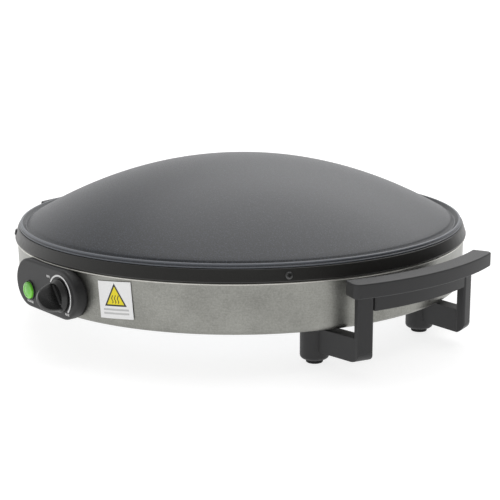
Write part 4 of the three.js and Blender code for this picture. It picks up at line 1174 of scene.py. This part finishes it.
def zinc_finish():
    finish = Finish("zinc_plating")
    where = finish.place()
    crystal = finish.node("ShaderNodeTexVoronoi", None, {"Vector": where, "Scale": 160.0}, output="Color")
    tone = finish.node("ShaderNodeSeparateColor", None, [crystal], output="Red")
    haze = finish.noise(where, 60.0, detail=4.0)
    colour = finish.blend(tone * 0.5 + haze * 0.5, (0.44, 0.45, 0.47, 1), (0.62, 0.63, 0.65, 1))
    roughness = finish.ramp(haze, 0.3, 0.7, 0.36, 0.5)
    return finish.surface(Base_Color=colour, Roughness=roughness, Metallic=1.0,
                          Normal=finish.bump(haze + tone * 0.3, 0.00003, 0.4))


zinc = zinc_finish()

# %% Cover disc with slots, and its screws
low, high = reach("bottom_cover")
COVER_RADIUS, COVER_BOTTOM, COVER_TOP = high.x, low.z, high.z
VENT_RADIUS, VENT_COUNT, VENT_HALF, VENT_ROUND = 95, 8, 26, 3
cover_section = [(0, COVER_BOTTOM), (118, COVER_BOTTOM), (120, COVER_BOTTOM + 0.6)]
cover_section += [(128, COVER_BOTTOM + 0.6), (130, COVER_BOTTOM), (COVER_RADIUS - 0.4, COVER_BOTTOM)]
cover_section += [(COVER_RADIUS, COVER_BOTTOM + 0.4), (COVER_RADIUS, COVER_TOP - 0.3)]
cover_section += [(COVER_RADIUS - 0.3, COVER_TOP), (0, COVER_TOP)]
cover = lathe("bottom_cover_pressed", cover_section, steps=128)
for number in range(VENT_COUNT):
    turn = (number + 0.5) * 360 / VENT_COUNT
    outline = arc((VENT_HALF - VENT_ROUND, 0), VENT_ROUND, -90, 90, 8)
    outline += arc((VENT_ROUND - VENT_HALF, 0), VENT_ROUND, 90, 270, 8)
    slot = extrude_outline("vent_slot", [(x, y, COVER_BOTTOM - 2) for x, y in outline], (0, 0, 6))
    place(slot, at=(VENT_RADIUS, 0, 0))
    combine(cover, place(slot, turn=(0, 0, turn)), "DIFFERENCE")
settle(cover, "root", zinc, ["bottom_cover"])

cover_screw = screw("cover_screw", head_radius=3.2, head_height=1.8, shank_radius=1.6, length=7)
place(cover_screw, turn=(180, 0, 0))
for number in range(1, 5):
    centre = middle(f"cover_screw_{number}")
    piece = twin(cover_screw, f"cross_cover_screw_{number}")
    place(piece, at=(centre.x, centre.y, DRUM_BOTTOM - 0.15))
    settle(piece, "root", zinc, [f"cover_screw_{number}"])
bpy.data.objects.remove(cover_screw)

# %% [markdown]
# ## The parts inside
#
# The element, the thermostat and the wiring keep their CAD shapes, since the closed drum hides them.
# They still get the finish of what they are made of: dull oxidised sheath, brass, glazed ceramic,
# bright aluminised sheet, and silicone insulation in the colours an electrician expects.

# %% Finishes for the inner parts


def plain_metal(name, dark, light, low_shine, high_shine, scale):
    finish = Finish(name)
    where = finish.place()
    stain = finish.noise(where, scale, detail=4.0, roughness=0.6)
    colour = finish.blend(stain, dark, light)
    roughness = finish.ramp(stain, 0.3, 0.7, low_shine, high_shine)
    return finish.surface(Base_Color=colour, Roughness=roughness, Metallic=1.0,
                          Normal=finish.bump(stain, 0.00004, 0.5))


def insulation(name, dark, light):
    finish = Finish(name)
    where = finish.place()
    streak = finish.noise(where, 500.0, detail=3.0)
    colour = finish.blend(streak, dark, light)
    roughness = finish.ramp(streak, 0.3, 0.7, 0.45, 0.6)
    return finish.surface(Base_Color=colour, Roughness=roughness,
                          Normal=finish.bump(streak, 0.00003, 0.4))


inner_finishes = {
    "zinc_steel": zinc,
    "gloss_black": gloss_black,
    "seal_rubber": seal_rubber,
    "brass": plain_metal("brass", (0.50, 0.33, 0.12, 1), (0.66, 0.46, 0.19, 1), 0.28, 0.42, 300.0),
    "aluminised_steel": plain_metal("aluminised_sheet", grey(0.62), grey(0.74), 0.22, 0.36, 90.0),
    "element_sheath": plain_metal("element_sheath", (0.10, 0.09, 0.09, 1), (0.20, 0.18, 0.17, 1),
                                  0.5, 0.65, 220.0),
    "ceramic": insulation("ceramic", (0.72, 0.69, 0.60, 1), (0.84, 0.81, 0.73, 1)),
    "blue_lead": insulation("blue_lead", (0.02, 0.09, 0.32, 1), (0.04, 0.14, 0.46, 1)),
    "brown_lead": insulation("brown_lead", (0.14, 0.055, 0.015, 1), (0.22, 0.09, 0.03, 1)),
    "red_lead": insulation("red_lead", (0.36, 0.03, 0.015, 1), (0.5, 0.05, 0.03, 1)),
    "grey_lead": insulation("grey_lead", grey(0.04), grey(0.07)),
}

# %% Assign a finish to every CAD node that is still shown
slot_of = {entry["node"]: entry["material_slot"] for entry in frame["record"]["subparts"]}
kept = [name for name, node in frame["nodes"].items() if not node.hide_render]
for name in kept:
    node = frame["nodes"][name]
    node.data.materials.clear()
    node.data.materials.append(inner_finishes[slot_of[name]])
print("CAD nodes that keep their shape:", len(kept))
